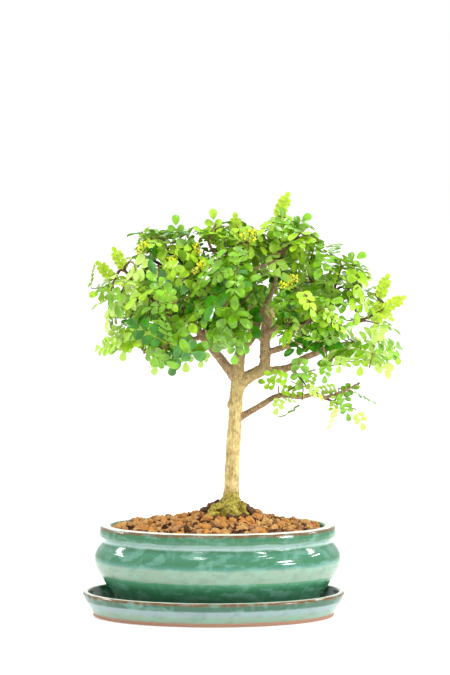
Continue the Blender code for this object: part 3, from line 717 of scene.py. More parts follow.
POT = OvalVessel(
    "pot", "pot_glaze",
    [(70.0, 8.3), (70.3, 5.8), (71.2, 5.3), (75.0, 5.3), (76.0, 5.9), (76.8, 7.7), (80.5, 9.3), (91.3, 24.2),
     (100.6, 38.2), (103.2, 47.5), (101.2, 54.8), (97.1, 60.2), (96.0, 62.0), (96.6, 64.6), (98.5, 66.8),
     (99.0, 69.2), (98.6, 72.2), (97.7, 74.4), (94.5, 75.8), (90.5, 75.6), (88.9, 74.6), (88.4, 70.0),
     (89.4, 60.0), (96.2, 47.5), (85.5, 25.0), (73.0, 13.3)],
    # The pot's dark foot is painted shade, its pale lower band is partly a painted reflection, the groove
    # carries a painted highlight and the rim's pale top is a painted highlight.
    [(70.0, 8.3, PAINTED_SHADE_GREEN), (80.5, 9.3, PAINTED_SHADE_GREEN), (85.0, 15.5, LOW_GREEN), (93.2, 27.0, LEAF_GLAZE),
     (98.4, 34.6, LOW_GREEN), (99.6, 36.4, CELADON_AND_REFLECTION), (103.1, 46.4, CELADON_AND_REFLECTION), (103.1, 48.2, BLUE_RUN),
     (102.6, 51.5, LEAF_GLAZE), (99.2, 57.6, TEAL_GLAZE), (96.4, 61.4, LEAF_GLAZE), (96.1, 63.0, GROOVE_BLUE_AND_HIGHLIGHT),
     (96.5, 64.4, LAVENDER), (97.4, 65.6, GROOVE_BLUE_AND_HIGHLIGHT), (98.6, 67.2, LEAF_GLAZE), (99.0, 72.0, LEAF_GLAZE),
     (98.8, 73.6, RIM_BROWN), (97.4, 75.0, RIM_BROWN), (95.9, 75.5, RIM_HIGHLIGHT), (90.9, 75.7, RIM_HIGHLIGHT),
     (89.4, 75.0, INSIDE_GREEN), (73.0, 13.3, PAINTED_SHADE_GREEN)],
    slim=24.7, centre_x=3.4)


# The limbs


KNOB_LENGTH = 9.0
KNOB_PEAK = 0.4
KNOB_TAPER = 0.5


@dataclass(frozen=True)
class Limb:
    """One tapering limb, from its foot inside its carrier to its tip."""

    name: str
    foot_radius: float
    tip_radius: float
    knots: tuple[Point, ...]
    knob_radius: float = 0.0

    def path(self, steps: int) -> tuple[list[Vector], list[float]]:
        """Draw the limb's middle line.

        Args:
            steps: How many points each stretch between two knots gets.

        Returns:
            Points along the limb, and its radius at each one.
        """
        points = smooth_path(self.knots, steps)
        lengths = runs_along(points)
        growth = self.tip_radius - self.foot_radius
        radii = [self.foot_radius + growth * run / lengths[-1] for run in lengths]
        for index, run in enumerate(lengths):
            to_tip = lengths[-1] - run
            if to_tip < KNOB_LENGTH:
                swelling = self.knob_radius - KNOB_TAPER * abs(to_tip - KNOB_PEAK * KNOB_LENGTH)
                radii[index] = max(radii[index], swelling)
        return points, radii


TRUNK_FOOT_Z = 82.0
TRUNK_TOP_Z = 211.5
TRUNK = Limb("trunk", 6.5, 5.1, ((11.8, 0, TRUNK_FOOT_Z), (14.6, 0, 99), (15.8, 0, 130), (18.3, 0, 172),
                                 (20.2, 0, 205), (20.8, 0, TRUNK_TOP_Z)))
BURIED_FOOT_Z = 77.0
FLARE_TOP_Z = 106.0
FLARE_SPREAD = 9.0
FLARE_CURVE = 0.6
FLARE_LOBES = 4
FLARE_LOBE_DEPTH = 0.24
FLARE_TURN = -0.2
BOUGHS = (
    Limb("left_bough", 4.4, 1.9, ((19.6, 0, 196), (13.7, -0.5, 204), (6.2, -1.5, 214), (-3.9, -3, 226.5),
                                  (-12.9, -4, 238), (-28, -4, 262), (-33, -4, 275))),
    Limb("leader", 4.8, 3.0, ((20.9, 0, 211.8), (22.8, 1, 219.8), (27.8, 3.5, 227.3), (33.5, 6.5, 235),
                              (36, 9, 245), (34, 12, 256))),
    Limb("right_bough", 5.4, 4.7, ((19.8, 0, 189), (24.5, 0, 195), (30.3, 0, 199.8), (45, 0, 207))),
    Limb("right_upright", 4.5, 3.7, ((41.5, 0, 204.5), (42.8, -0.3, 212), (42.8, -0.6, 228),
                                     (43.4, -1, 240), (48.6, -1, 257)), 5.8),
    Limb("right_outer_bough", 3.4, 2.2, ((40, 0, 205), (48, -0.5, 204.4), (63.6, -1.5, 207.3),
                                         (75.2, -2, 214.8), (86.9, -3, 219.8), (100, -4, 225))),
    Limb("low_bough", 2.8, 1.7, ((18.0, 0, 161.5), (24.5, -0.5, 166.5), (38.7, -2, 175.2), (54.9, -4, 184),
                                 (72.8, -5, 182.5), (83.6, -6, 185.2), (93, -6, 181.8))),
    Limb("heart_arm", 1.9, 1.4, ((-7.5, -3.4, 231), (-6, -5, 242), (-4, -5, 250))),
    Limb("left_arm", 2.5, 1.6, ((-16, -4, 243), (-30, -9, 248.5), (-39.5, -11, 256), (-50, -12, 264))),
    Limb("left_low_arm", 2.2, 1.5, ((-8.5, -3.5, 232), (-22, -8, 231), (-34, -11, 233))),
    Limb("left_front_arm", 2.3, 1.6, ((-13, -4, 238), (-17, -18, 241), (-22, -32, 245))),
    Limb("left_back_arm", 2.3, 1.6, ((-15.5, -4, 242), (-21, 12, 246), (-27, 28, 251))),
    Limb("top_arm", 2.4, 1.6, ((35, 10.5, 251), (26, 8, 262), (18, 5, 272), (14, 3, 282))),
    Limb("peak_arm", 2.4, 1.6, ((36, 9.3, 246), (44, 9, 260), (50, 6, 273), (53, 4, 286))),
    Limb("back_arm", 2.4, 1.6, ((33.5, 6.5, 235), (28, 20, 243), (18, 40, 254))),
    Limb("front_arm", 2.3, 1.6, ((43, -0.7, 228), (34, -14, 236), (19, -38, 246))),
    Limb("right_front_arm", 2.3, 1.6, ((43.2, -1, 236), (52, -14, 240), (64, -28, 243))),
    Limb("right_back_arm", 2.3, 1.6, ((42.8, -0.6, 226), (48, 14, 236), (56, 30, 246))),
    Limb("right_arm", 2.7, 1.7, ((42.8, -0.5, 219), (58, -5, 224), (75.2, -7, 229.5), (92, -7, 234.5),
                                 (114, -6, 243))),
    Limb("crown_arm", 1.9, 1.4, ((91, -7, 234), (95, -6, 246), (98, -5, 262))),
    Limb("inner_arm", 1.8, 1.3, ((63.6, -1.5, 207.3), (69, -11, 202))),
)


ROOTS_AND_OLD_TWIGS = (
    Limb("left_root", 3.9, 2.6, ((12, -4, 91.5), (1.5, -8, 91.5), (-3.5, -9, 84))),
    Limb("low_left_root", 2.6, 1.5, ((5, -12, 86), (-3, -15, 85), (-9.5, -16, 81))),
    Limb("front_right_root", 4.0, 2.6, ((13, -8, 93), (17, -15, 89.5), (24, -18, 83))),
    Limb("front_root", 4.4, 2.4, ((13.5, -3, 92), (13, -11, 88), (16, -18, 83))),
    Limb("right_root", 3.8, 2.4, ((17, -3, 90), (25, -6, 86.5), (30, -8, 82))),
    Limb("right_root_stub", 3.0, 1.9, ((20, -5, 84), (25.0, -7, 88), (25.6, -7, 95.0))),
    Limb("low_twig", 1.6, 0.95, ((92, -6, 182), (101, -7.5, 184.8), (112, -9, 189.6), (121.8, -10, 195.1))),
    Limb("outer_stub", 1.7, 1.3, ((99, -4, 224.6), (106, -5, 224.4), (110.6, -6, 227))),
    Limb("crossing_twig", 1.7, 1.0, ((17, 4, 275), (20.6, -12, 284.7), (36, -22, 290.4), (52.6, -28, 297.1))),
    Limb("short_twig", 1.3, 0.9, ((14, 3, 281), (10, -14, 279), (14, -24, 280), (24.2, -30, 286.6))),
    Limb("top_twig", 1.5, 1.0, ((14, 3, 281), (4, -6, 298), (-4.4, -16, 313), (2.8, -22, 327.3))),
)


def flare_share(z: float) -> float:
    """Return how much of the root flare is left at a height: one at the soil, none at its top."""
    share = max((z - TRUNK_FOOT_Z) / (FLARE_TOP_Z - TRUNK_FOOT_Z), 0.0)
    return 0.5 * (1 + math.cos(math.pi * share ** FLARE_CURVE)) if share < 1 else 0.0


def trunk_rings(steps: int, sides: int, grow: float = 0.0) -> list[list[Vector]]:
    """Draw the trunk as level rings, with its root lobes.

    Args:
        steps: How many rings each stretch between two knots gets.
        sides: How many points a ring gets.
        grow: How much wider the trunk is made all round.

    Returns:
        The rings, from the foot up.
    """
    rings = []
    points, radii = TRUNK.path(steps)
    points.insert(0, Vector((points[0].x, points[0].y, BURIED_FOOT_Z)))
    radii.insert(0, radii[0])
    for point, radius in zip(points, radii):
        ring = []
        for i in range(sides):
            angle = math.tau * i / sides
            lobe = 1 + FLARE_LOBE_DEPTH * math.cos(FLARE_LOBES * angle + FLARE_TURN)
            reach = radius + FLARE_SPREAD * flare_share(point.z) * lobe + grow
            ring.append(point + reach * Vector((math.cos(angle), math.sin(angle), 0)))
        rings.append(ring)
    return rings


@dataclass(frozen=True)
class Scar:
    """A mark where a branch was taken off: a lip round a hollow, or a plain lump."""

    middle: Point
    radius: float
    lip: float
    hollow: float
    lip_place: float = 0.75
    lip_steepness: float = 2.6
    hollow_steepness: float = 2.2
    end: float = 2.0

    def height(self, point: Vector) -> float:
        """Lift or sink the bark.

        Args:
            point: A point on the bark.

        Returns:
            How far the scar lifts it there.
        """
        share = (point - Vector(self.middle)).length / self.radius
        if share > self.end:
            return 0.0
        lip = self.lip * math.exp(-((share - self.lip_place) * self.lip_steepness) ** 2)
        return lip - self.hollow * math.exp(-(share * self.hollow_steepness) ** 2)


@dataclass(frozen=True)
class Station:
    """A place on a limb: its middle, the limb's radius and sides there, and how far along it lies."""

    point: Vector
    radius: float
    sides: tuple[Vector, Vector]
    run: float


@dataclass
class BarkSkin:
    """The skin of the trunk and the boughs, grown together at the forks, with the bark's relief."""

    voxel: float = 0.62
    smoothings: int = 5
    sides: int = 16
    steps: int = 5
    wander: float = 0.45
    wander_length: float = 14.0
    rough_radius: float = 5.5
    ridge: float = 0.55
    ridge_size: float = 3.2
    ridge_flow: float = 0.4
    grain: float = 0.22
    grain_size: float = 0.9
    ring_spacing: float = 7.0
    ring_height: float = 0.28
    ring_drift: float = 20.0
    ring_sharpness: int = 6
    moss_top_z: float = 110.0
    moss_fade: float = 13.0
    moss_lump: float = 1.5
    moss_lump_size: float = 5.5
    moss_tuft: float = 0.6
    moss_tuft_size: float = 1.6
    young_radius: float = 1.6
    young_over: float = 4.2
    plain_foot: float = 1.5
    # Darker bark high on the trunk: partly browner bark, partly painted shade under the crown.
    darker_from_z: float = 150.0
    darker_over: float = 55.0
    darker_share: float = 0.34
    near_count: int = 10
    scars: tuple[Scar, ...] = (
        Scar((11.9, -1.6, 176.1), 3.2, 1.4, -1.2),
        Scar((18.6, -6.2, 152.6), 2.6, 0.9, 0.9),
        Scar((19.0, -5.6, 128.0), 2.0, 0.6, 0.5),
        Scar((12.5, -4.5, 141.0), 1.8, 0.5, 0.3),
        Scar((23.5, -3.0, 205.0), 2.4, 0.9, 0.0),
        Scar((49.5, -4.5, 254.0), 3.4, 0.9, 1.0),
        Scar((39.0, -3.0, 216.0), 2.2, 1.0, 0.2),
        Scar((5.0, -4.0, 215.5), 2.0, 0.8, 0.2),
    )

    def tubes(self) -> list[tuple[list[Vector], list[float]]]:
        """Let each limb's path wander a little between its ends.

        Returns:
            Each limb's path and radii, the trunk's first.
        """
        made = [TRUNK.path(self.steps)]
        for limb in BOUGHS + ROOTS_AND_OLD_TWIGS:
            points, radii = limb.path(self.steps)
            count = len(points) - 1
            for i in range(1, count):
                swing = noise.noise_vector(points[i] / self.wander_length)
                points[i] = points[i] + swing * self.wander * math.sin(math.pi * i / count)
            made.append((points, radii))
        return made

    def fused(self) -> bpy.types.Mesh:
        """Grow one skin round all the limbs.

        Returns:
            Its mesh, in millimetres.
        """
        bm = bmesh.new()
        extrude_tube(bm, trunk_rings(self.steps, 3 * self.sides))
        for points, radii in self.tubes()[1:]:
            extrude_tube(bm, tube_rings(points, radii, self.sides))
        bmesh.ops.recalc_face_normals(bm, faces=bm.faces)
        made = put_in_scene("limbs", mesh_of(bm, "limbs"))
        modifier = made.modifiers.new("skin", "REMESH")
        modifier.mode = "VOXEL"
        modifier.voxel_size = self.voxel
        skin = bpy.data.meshes.new_from_object(made.evaluated_get(bpy.context.evaluated_depsgraph_get()))
        bpy.data.objects.remove(made, do_unlink=True)
        return skin

    def stations(self) -> list[Station]:
        """Return places all along the trunk and the limbs."""
        return [Station(*row) for points, radii in self.tubes()
                for row in zip(points, radii, path_frames(points), runs_along(points))]

    def relief(self, place: Vector, station: Station) -> float:
        """Return how far the ridges, the grain, the rings and the scars lift the bark.

        Args:
            place: A point on the skin.
            station: The nearest place on a limb.

        Returns:
            The rise, which is negative in a hollow.
        """
        off = place - station.point
        side, other = station.sides
        along = station.run + off.dot(side.cross(other))
        spot = Vector((off.dot(side), off.dot(other), along * self.ridge_flow))
        share = min(station.radius / self.rough_radius, 1.0)
        rise = self.ridge * share * noise.fractal(spot / self.ridge_size, 1.0, 2.0, 3)
        rise += self.grain * share * noise.noise(place / self.grain_size)
        turns = along / self.ring_spacing + noise.noise(place / self.ring_drift)
        ring = 0.5 + 0.5 * math.cos(math.tau * turns)
        rise += self.ring_height * (1 - 0.5 * share) * ring ** self.ring_sharpness
        return rise + sum(scar.height(place) for scar in self.scars)

    def moss_relief(self, place: Vector) -> float:
        """Return how far full moss stands out at a point."""
        lumps = self.moss_lump * noise.noise(place / self.moss_lump_size)
        return lumps + self.moss_tuft * noise.fractal(place / self.moss_tuft_size, 1.0, 2.0, 2)

    def youth_and_shade_at(self, z: float, radius: float) -> float:
        """Return how young the bark looks on thin limbs, plus a darkening high up that is partly browner bark
        and partly painted shade under the crown.
        """
        thin = 1.0 - within_one((radius - self.young_radius) / self.young_over) if z > FLARE_TOP_Z else 0.0
        high = within_one((z - self.darker_from_z) / self.darker_over)
        return min(thin + self.darker_share * high, 1.0)

    def build(self) -> bpy.types.Object:
        """Make the skin, raise its relief and mark how young it is, with painted shade high up, and how mossy
        it is.

        Returns:
            The bark's piece.
        """
        bm = bmesh.new()
        bm.from_mesh(self.fused())
        for _ in range(self.smoothings):
            bmesh.ops.smooth_vert(bm, verts=bm.verts, factor=0.5, use_axis_x=True, use_axis_y=True,
                                  use_axis_z=True)
        bm.normal_update()
        stations = self.stations()
        tree = place_tree([station.point for station in stations])
        youth = bm.verts.layers.float.new(YOUTH_AND_SHADE)
        moss = bm.verts.layers.float.new(MOSS)
        for vert in bm.verts:
            near = tree.find_n(vert.co, self.near_count)
            station = stations[min((apart - stations[index].radius, index) for _, index, apart in near)[1]]
            vert[youth] = self.youth_and_shade_at(vert.co.z, station.radius)
            vert[moss] = within_one((self.moss_top_z - vert.co.z) / self.moss_fade)
            if vert.co.z >= BURIED_FOOT_Z + self.plain_foot:
                rise = self.relief(vert.co, station) + vert[moss] * self.moss_relief(vert.co)
                vert.co = vert.co + vert.normal * rise
        skin = mesh_of(bm, "tree_bark", MM)
        skin.materials.append(dressed(BarkFinish("bark")))
        made = settle("tree_bark", skin, 180)
        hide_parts("trunk", *[limb.name for limb in BOUGHS])
        return made


# The foliage


@dataclass(frozen=True)
class Reach:
    """A leaf whose tip marks how far a mass goes, and its tone."""

    tip: Point
    way: Point
    tone: Tone = Tone.MID


@dataclass(frozen=True)
class Mass:
    """A mass of foliage: its limb, its room, how the source fills it, and how it is filled here."""

    name: str
    limb: str
    centre: Point
    half_sizes: Point
    source_leaves: int
    reaches: tuple[Reach, ...]
    leaves: int
    tones: tuple[int, int, int, int, int]
    flowers: tuple[Point, ...] = ()
    leaf_scale: float = 1.0
    lift: float = 1.0
    skirt_z: float = 205.0
    # Leaves left of this x take the edge tones, mostly the pale green painted as backlit.
    pale_before_x: float = -200.0


def reaches(*rows: tuple[Point, Point, Tone]) -> tuple[Reach, ...]:
    """Return rows of tip, way and tone as reaches."""
    return tuple(Reach(*row) for row in rows)


MASSES = (
    Mass("left_tip_foliage", "left_arm", (-66, -8, 271), (43, 42, 48), 5,
         reaches(((-83, -16, 308), (-0.5, 0, 1), Tone.LIME), ((-97, -6, 296), (-0.7, 0, 0.8), Tone.LIME),
                 ((-104, 6, 267), (-1, 0, -0.1), Tone.FRESH)), 28, (0, 4, 5, 0, 3), (), 0.8,
         pale_before_x=-62.0),
    Mass("left_lower_foliage", "left_low_arm", (-50, -4, 232), (50, 44, 42), 6,
         reaches(((-89, -4, 220), (-0.7, 0, -0.65), Tone.PALE), ((-22, 8, 202), (0.15, 0, -1), Tone.PALE)),
         25, (4, 5, 3, 0, 2), (), 0.86, 0.5, 213.0, -60.0),
    Mass("left_front_foliage", "left_front_arm", (-36, -50, 254), (42, 42, 54), 7,
         reaches(((-33, -50, 203), (0.05, 0, -1), Tone.DEEP), ((-40, -90, 258), (0, -1, 0.1), Tone.MID)),
         46, (4, 6, 4, 0, 0), (), 0.88, 0.3),
    Mass("left_back_foliage", "left_back_arm", (-36, 50, 262), (46, 46, 46), 5,
         reaches(((-40, 94, 262), (0, 1, 0), Tone.MID)), 36, (2, 4, 4, 0, 2)),
    Mass("left_crown_foliage", "left_bough", (-34, -4, 303), (42, 46, 38), 6,
         reaches(((-32, -4, 334), (-0.1, 0, 1), Tone.MID)), 38, (1, 4, 7, 0, 1),
         ((-54.4, -30, 308), (-32.8, -40, 296)), 0.84, 1.6),
    Mass("heart_foliage", "heart_arm", (-2, -4, 262), (34, 34, 36), 4, (), 30, (6, 5, 1, 0, 0), lift=0.5),
    Mass("front_foliage", "front_arm", (10, -60, 262), (36, 40, 52), 5,
         reaches(((8, -98, 262), (0, -1, 0.1), Tone.MID), ((17.5, -60, 213), (-0.05, 0, -1), Tone.MID)),
         48, (7, 7, 0, 0, 0), ((-8.7, -60, 290.2),), 0.84, 0.4, 218.0),
    Mass("back_foliage", "back_arm", (14, 62, 262), (42, 42, 44), 5,
         reaches(((14, 103, 262), (0, 1, 0), Tone.MID)), 36, (2, 4, 4, 0, 2)),
    Mass("top_foliage", "top_arm", (9, -2, 304), (40, 46, 38), 5,
         reaches(((18, 7, 336), (-0.05, 0, 1), Tone.LIME), ((-1, -9, 339), (-0.1, 0, 1), Tone.FRESH)),
         48, (0, 4, 8, 0, 1), ((-12.5, -30, 303), (28, -26, 316)), 0.86, 1.6),
    Mass("peak_foliage", "peak_arm", (60, 2, 312), (38, 44, 43), 6,
         reaches(((62.5, 2, 353), (0.42, 0, 1), Tone.LIME), ((80, 2, 335), (0.8, 0, 0.8), Tone.MID)),
         42, (0, 4, 8, 0, 1), (), 0.86, 1.6),
    Mass("right_front_foliage", "right_front_arm", (78, -48, 252), (38, 44, 42), 6,
         reaches(((84, -88, 254), (0.1, -1, 0), Tone.MID)), 36, (3, 7, 5, 0, 0),
         ((65.2, -60, 278.8),), 0.82, 1.0),
    Mass("right_back_foliage", "right_back_arm", (66, 54, 258), (46, 46, 44), 5,
         reaches(((72, 96, 260), (0.1, 1, 0), Tone.FRESH)), 25, (1, 4, 5, 0, 3)),
    Mass("right_crown_foliage", "crown_arm", (96, -2, 282), (44, 46, 40), 6,
         reaches(((126, -2, 303), (0.9, 0, 0.6), Tone.MID)), 29, (1, 5, 7, 0, 0), (), 0.86, 1.6),
    Mass("right_tip_foliage", "right_arm", (124, -4, 254), (42, 42, 42), 5,
         reaches(((159.5, -12, 267), (1, 0, 0.6), Tone.LIME), ((146, 8, 285), (0.4, 0, 1), Tone.LIME)),
         16, (0, 3, 6, 0, 5), (), 0.82),
    Mass("right_lower_foliage", "right_outer_bough", (116, -4, 220), (44, 42, 33), 6,
         reaches(((150, -4, 205), (0.8, 0, -0.7), Tone.PALE)), 12, (0, 4, 4, 0, 5), lift=0.7),
    Mass("inner_right_foliage", "inner_arm", (62, -18, 192), (36, 28, 28), 3,
         reaches(((51, -12, 168), (-0.3, 0, -1), Tone.PALE), ((37, -14, 197), (-1, 0, 0.3), Tone.FRESH)),
         6, (1, 4, 3, 0, 1), (), 0.62, 0.5, 0.0),
    Mass("low_foliage", "low_bough", (110, -6, 178), (32, 28, 32), 2,
         reaches(((126, -6, 155), (0.45, 0, -1), Tone.PALE), ((121, -6, 193), (1, 0, 0.45), Tone.MID)),
         5, (0, 4, 3, 0, 2), (), 0.68, skirt_z=0.0),
)


@dataclass(frozen=True)
class HangingLeaf:
    """A leaf that shows by itself below the crown, from its foot to its tip."""

    foot: Point
    tip: Point
    tone: Tone
    plan: int = 1
    facing: Point = (0.1, -1.0, 0.3)


HANGING_LEAVES = (
    HangingLeaf((71.6, -28, 221), (70.5, -30, 190), Tone.MID, 1),
    HangingLeaf((57, 2, 184), (69, 2, 178), Tone.PALE, 3),
    HangingLeaf((93.3, -20, 217), (91.6, -22, 195), Tone.MID, 2),
    HangingLeaf((84, -14, 206), (77, -16, 190), Tone.FRESH, 1),
    HangingLeaf((106.5, -10, 190), (113, -12, 163), Tone.MID, 3),
    HangingLeaf((102, -9, 186), (98, -12, 166), Tone.FRESH, 3),
    HangingLeaf((-41.5, 8, 225), (-50.5, 8, 200), Tone.PALE, 1),
    HangingLeaf((-6, -2, 223), (-11.5, -4, 207), Tone.PALE, 0),
    HangingLeaf((-70, -8, 264), (-91, -8, 249), Tone.FRESH, 3),
    HangingLeaf((-76, 0, 244), (-90, 2, 219), Tone.PALE, 1),
    HangingLeaf((-69, -12, 241), (-76, -14, 213), Tone.PALE, 2),
    HangingLeaf((130.6, -8, 219), (147, -10, 199), Tone.PALE, 1),
    HangingLeaf((121.6, -16, 223), (121.6, -18, 201), Tone.FRESH, 0),
    HangingLeaf((107, -10, 220), (103, -12, 203), Tone.PALE, 0),
    HangingLeaf((138, 0, 229), (156, 0, 210), Tone.FRESH, 1),
)
FIRST_SEED = 11
# Tones at the crown's left edge, mostly the pale green painted as backlit.
EDGE_TONES = (0, 1, 4, 0, 8)
SPACE_MARGIN = 0.6
LIMB_CLEARANCE = 0.9
INNER_SHARE = 0.62
OUTER_SHARE = 0.86
WALL_OVERLAP = 11.0
SPREAD_TRIES = 40
CROWN_HEART = Vector((24.0, 0.0, 222.0))
CROWN_BOTTOM_Z = 210.0
CROWN_TOP_Z = 330.0
DOME_X = 8.0
DOME_TOP_Z = 329.0
DOME_FALL = 34.0
DOME_HALF_LENGTH = 115.0
DOME_PEAK_X = 57.0
DOME_PEAK_RISE = 12.0
DOME_PEAK_WIDTH = 17.0
DOME_UNEVEN = 10.0
DOME_UNEVEN_SIZE = 25.0

# The source's twigs, and the finer ones
TWIG_PATH_COST = 0.3
TWIG_TEST_RADIUS = 1.3
FINE_TEST_RADIUS = 0.7
TEST_SIDES = 3
TWIG_BEND = 0.4
STEM_LENGTH = 5.0
STEM_LIMB_STEPS = 2
SOURCE_SPACING = 13.0
SOURCE_LEAVES_PER_TWIG = 2.2
FINE_SPACING = 8.0
LEAVES_PER_FINE_TWIG = 2.2
MOST_LEAVES_ON_TWIG = 5
TWIG_TIP_RADIUS = 0.42
TWIG_GROWTH = 0.42
BROWN_FROM_RADIUS = 0.75
FLOWER_TWIG_DROP = 4.0
TWIG_STEPS = 3
TWIG_SIDES = 5
TWIG_SINK = 0.6
STEM_SINK = 1.5
TWIG_PAST_END = 0.5
TWIG_TAPER = 0.6
TWIG_WANDER = 0.35
TWIG_WANDER_LENGTH = 7.0

# The source's leaf, whose length places the twigs that carry the reaches
SOURCE_LEAF_LENGTH = 39.14
REACH_LEAF_SCALE = 0.72
REACH_FACING = Vector((0.0, -1.0, 0.4))

# How a leaf is put on its twig, and its shape there
LEAF_TRIES = 26
LEAF_SCALES = (0.85, 1.12)
LEAF_STEP_BACK = 0.28
LEAF_WAY = {"outward": 0.5, "along": 0.4, "chance": 0.7}
LEAF_FACING = {"outward": 0.75, "chance": 0.5, "least_turn": 0.3}
LEAF_SETTLE = 0.7
LEAF_DROOPS = (0.05, 0.4)
LEAF_MIDDLE = 0.6
LEAFLET_LIFT = 0.12
REACH_DROOP = 0.05
FRONT_FACING_UP_TO = 0.5
HANGING_DROOP = 0.08
RIB_SLOT = 2
NEIGHBOUR_CELL = 42.0
FINE_SEED_SHIFT = 1000


@dataclass
class LeafTemplate:
    """The arrays of one leaf, laid out flat, and the coarse faces that it is tested with."""

    plan: "LeafPlan"
    points: list[Point] = field(default_factory=list)
    faces: list[tuple[int, ...]] = field(default_factory=list)
    slots: list[int] = field(default_factory=list)
    test_points: list[Point] = field(default_factory=list)
    test_faces: list[tuple[int, ...]] = field(default_factory=list)

    def add(self, points: Sequence[Point], faces: Iterable[Sequence[int]], slots: Iterable[int]) -> None:
        """Add one shape.

        Args:
            points: Its points.
            faces: Its faces, which count from its own first point.
            slots: The slot of each face.
        """
        start = len(self.points)
        self.points += points
        self.faces += [tuple(start + i for i in face) for face in faces]
        self.slots += slots

    def add_test_face(self, points: Sequence[Point]) -> None:
        """Add one coarse face."""
        start = len(self.test_points)
        self.test_points += points
        self.test_faces.append(tuple(range(start, start + len(points))))


@dataclass(frozen=True)
class LeafPlan:
    """A feather-shaped leaf laid out flat: pairs of leaflets along a rib, and one at its end."""

    pairs: int
    first: float
    spacing: float
    leaflet: float
    width: float
    swing: float
    end_scale: float = 1.1
    rib_radius: float = 0.42
    fold: float = 0.24
    curl: float = 0.18
    serrate: float = 0.0
    taper: float = 0.0
    thickness: float = 0.26
    rows: tuple[tuple[float, float], ...] = (
        (0.09, 0.32), (0.28, 0.72), (0.54, 0.98), (0.78, 0.96), (0.94, 0.60))
    test_share: float = 0.5
    test_places: tuple[float, float, float] = (0.05, 0.55, 0.97)
    least_size: float = 0.84
    size_swell: float = 0.16
    root_wander: float = 0.6
    swings: Range = (0.86, 1.1)
    sizes: Range = (0.9, 1.08)
    folds: Range = (0.6, 1.4)
    curls: Range = (0.3, 1.7)
    end_wander: float = 0.12
    end_set_back: float = 0.2
    rib_start: float = -0.3
    rib_past_end: float = 1.0
    rib_drop: float = 0.1
    rib_taper: float = 0.5
    rib_sides: int = 3

    @property
    def rib(self) -> float:
        """Return the rib's length."""
        return self.first + self.spacing * (self.pairs - self.end_set_back)

    @property
    def length(self) -> float:
        """Return the whole leaf's length."""
        return self.rib + self.leaflet * self.end_scale

    def leaflets(self, rng: random.Random) -> list[tuple[Vector, float, float]]:
        """Lay out the leaflets.

        Args:
            rng: The chance that makes them slightly different.

        Returns:
            Each leaflet's root, the angle that it swings out to and its length.
        """
        made = []
        for pair in range(self.pairs):
            along = self.first + self.spacing * pair
            swell = self.size_swell * math.sin(math.pi * (pair + 1) / (self.pairs + 1))
            size = self.leaflet * (self.least_size + swell)
            size *= 1 - self.taper * pair / self.pairs
            for turn in (1, -1):
                root = Vector((along + turn * rng.uniform(-self.root_wander, self.root_wander), 0, 0))
                angle = turn * self.swing * rng.uniform(*self.swings)
                made.append((root, angle, size * rng.uniform(*self.sizes)))
        end = Vector((self.rib, 0, 0))
        made.append((end, rng.uniform(-self.end_wander, self.end_wander), self.leaflet * self.end_scale))
        return made

    def add_leaflet(self, template: LeafTemplate, root: Vector, angle: float, size: float,
                    rng: random.Random) -> None:
        """Add one leaflet, whose outline follows the rows, as a thin shape with two faces.

        Args:
            template: The leaf that it belongs to.
            root: Where it leaves the rib.
            angle: The angle that it swings out to.
            size: Its length.
            rng: The chance that folds and curls it.
        """
        ahead = Vector((math.cos(angle), math.sin(angle), 0))
        aside = Vector((-ahead.y, ahead.x, 0))
        fold = self.fold * rng.uniform(*self.folds)
        curl = self.curl * rng.uniform(*self.curls)
        half = 0.5 * self.width * size / self.leaflet

        def spot(share: float, out: float, drop: float = 0.0) -> Point:
            """Return a point of the leaflet by its share of the length and how far out it lies."""
            flat = root + ahead * size * share + aside * out
            lift = fold * abs(out) - curl * size * share * share - drop
            return flat.x, flat.y, lift

        points = [spot(0, 0), spot(1, 0)]
        for number, (share, wide) in enumerate(self.rows):
            edge = half * wide * (1 + self.serrate * (-1) ** number)
            points += [spot(share, edge), spot(share, 0), spot(share, -edge), spot(share, 0, self.thickness)]
        faces: list[tuple[int, ...]] = []
        slots: list[int] = []
        for slot, level in enumerate((1, 3)):
            rows = [(first, first + level, first + 2) for first in range(2, len(points), 4)]
            shapes = [(0, rows[0][1], rows[0][0]), (0, rows[0][2], rows[0][1])]
            for low, high in zip(rows, rows[1:]):
                shapes += [(low[0], low[1], high[1], high[0]), (low[1], low[2], high[2], high[1])]
            shapes += [(rows[-1][0], rows[-1][1], 1), (rows[-1][1], rows[-1][2], 1)]
            faces += shapes if slot else [tuple(reversed(shape)) for shape in shapes]
            slots += [slot] * len(shapes)
        template.add(points, faces, slots)
        near, middle, far = self.test_places
        reach = half * self.test_share
        template.add_test_face([spot(near, 0), spot(middle, reach), spot(far, 0), spot(middle, -reach)])

    def add_rib(self, template: LeafTemplate) -> None:
        """Add the rib, which gets thinner towards its end.

        Args:
            template: The leaf that it belongs to.
        """
        pairs = [self.first + self.spacing * pair for pair in range(self.pairs)]
        stations = [self.rib_start, *pairs, self.rib + self.rib_past_end]
        last = len(stations) - 1
        path = [Vector((along, 0, -self.rib_drop)) for along in stations]
        radii = [self.rib_radius * (1 - self.rib_taper * i / last) for i in range(len(stations))]
        rib, faces = tube_arrays(tube_rings(path, radii, self.rib_sides))
        template.add([tuple(point) for point in rib], faces, [RIB_SLOT] * len(faces))

    def template(self, seed: int) -> LeafTemplate:
        """Draw the leaf, with leaflets of slightly different sizes and angles.

        Args:
            seed: The seed of its chance.

        Returns:
            Its arrays.
        """
        rng = random.Random(seed)
        made = LeafTemplate(self)
        for root, angle, size in self.leaflets(rng):
            self.add_leaflet(made, root, angle, size, rng)
        self.add_rib(made)
        return made


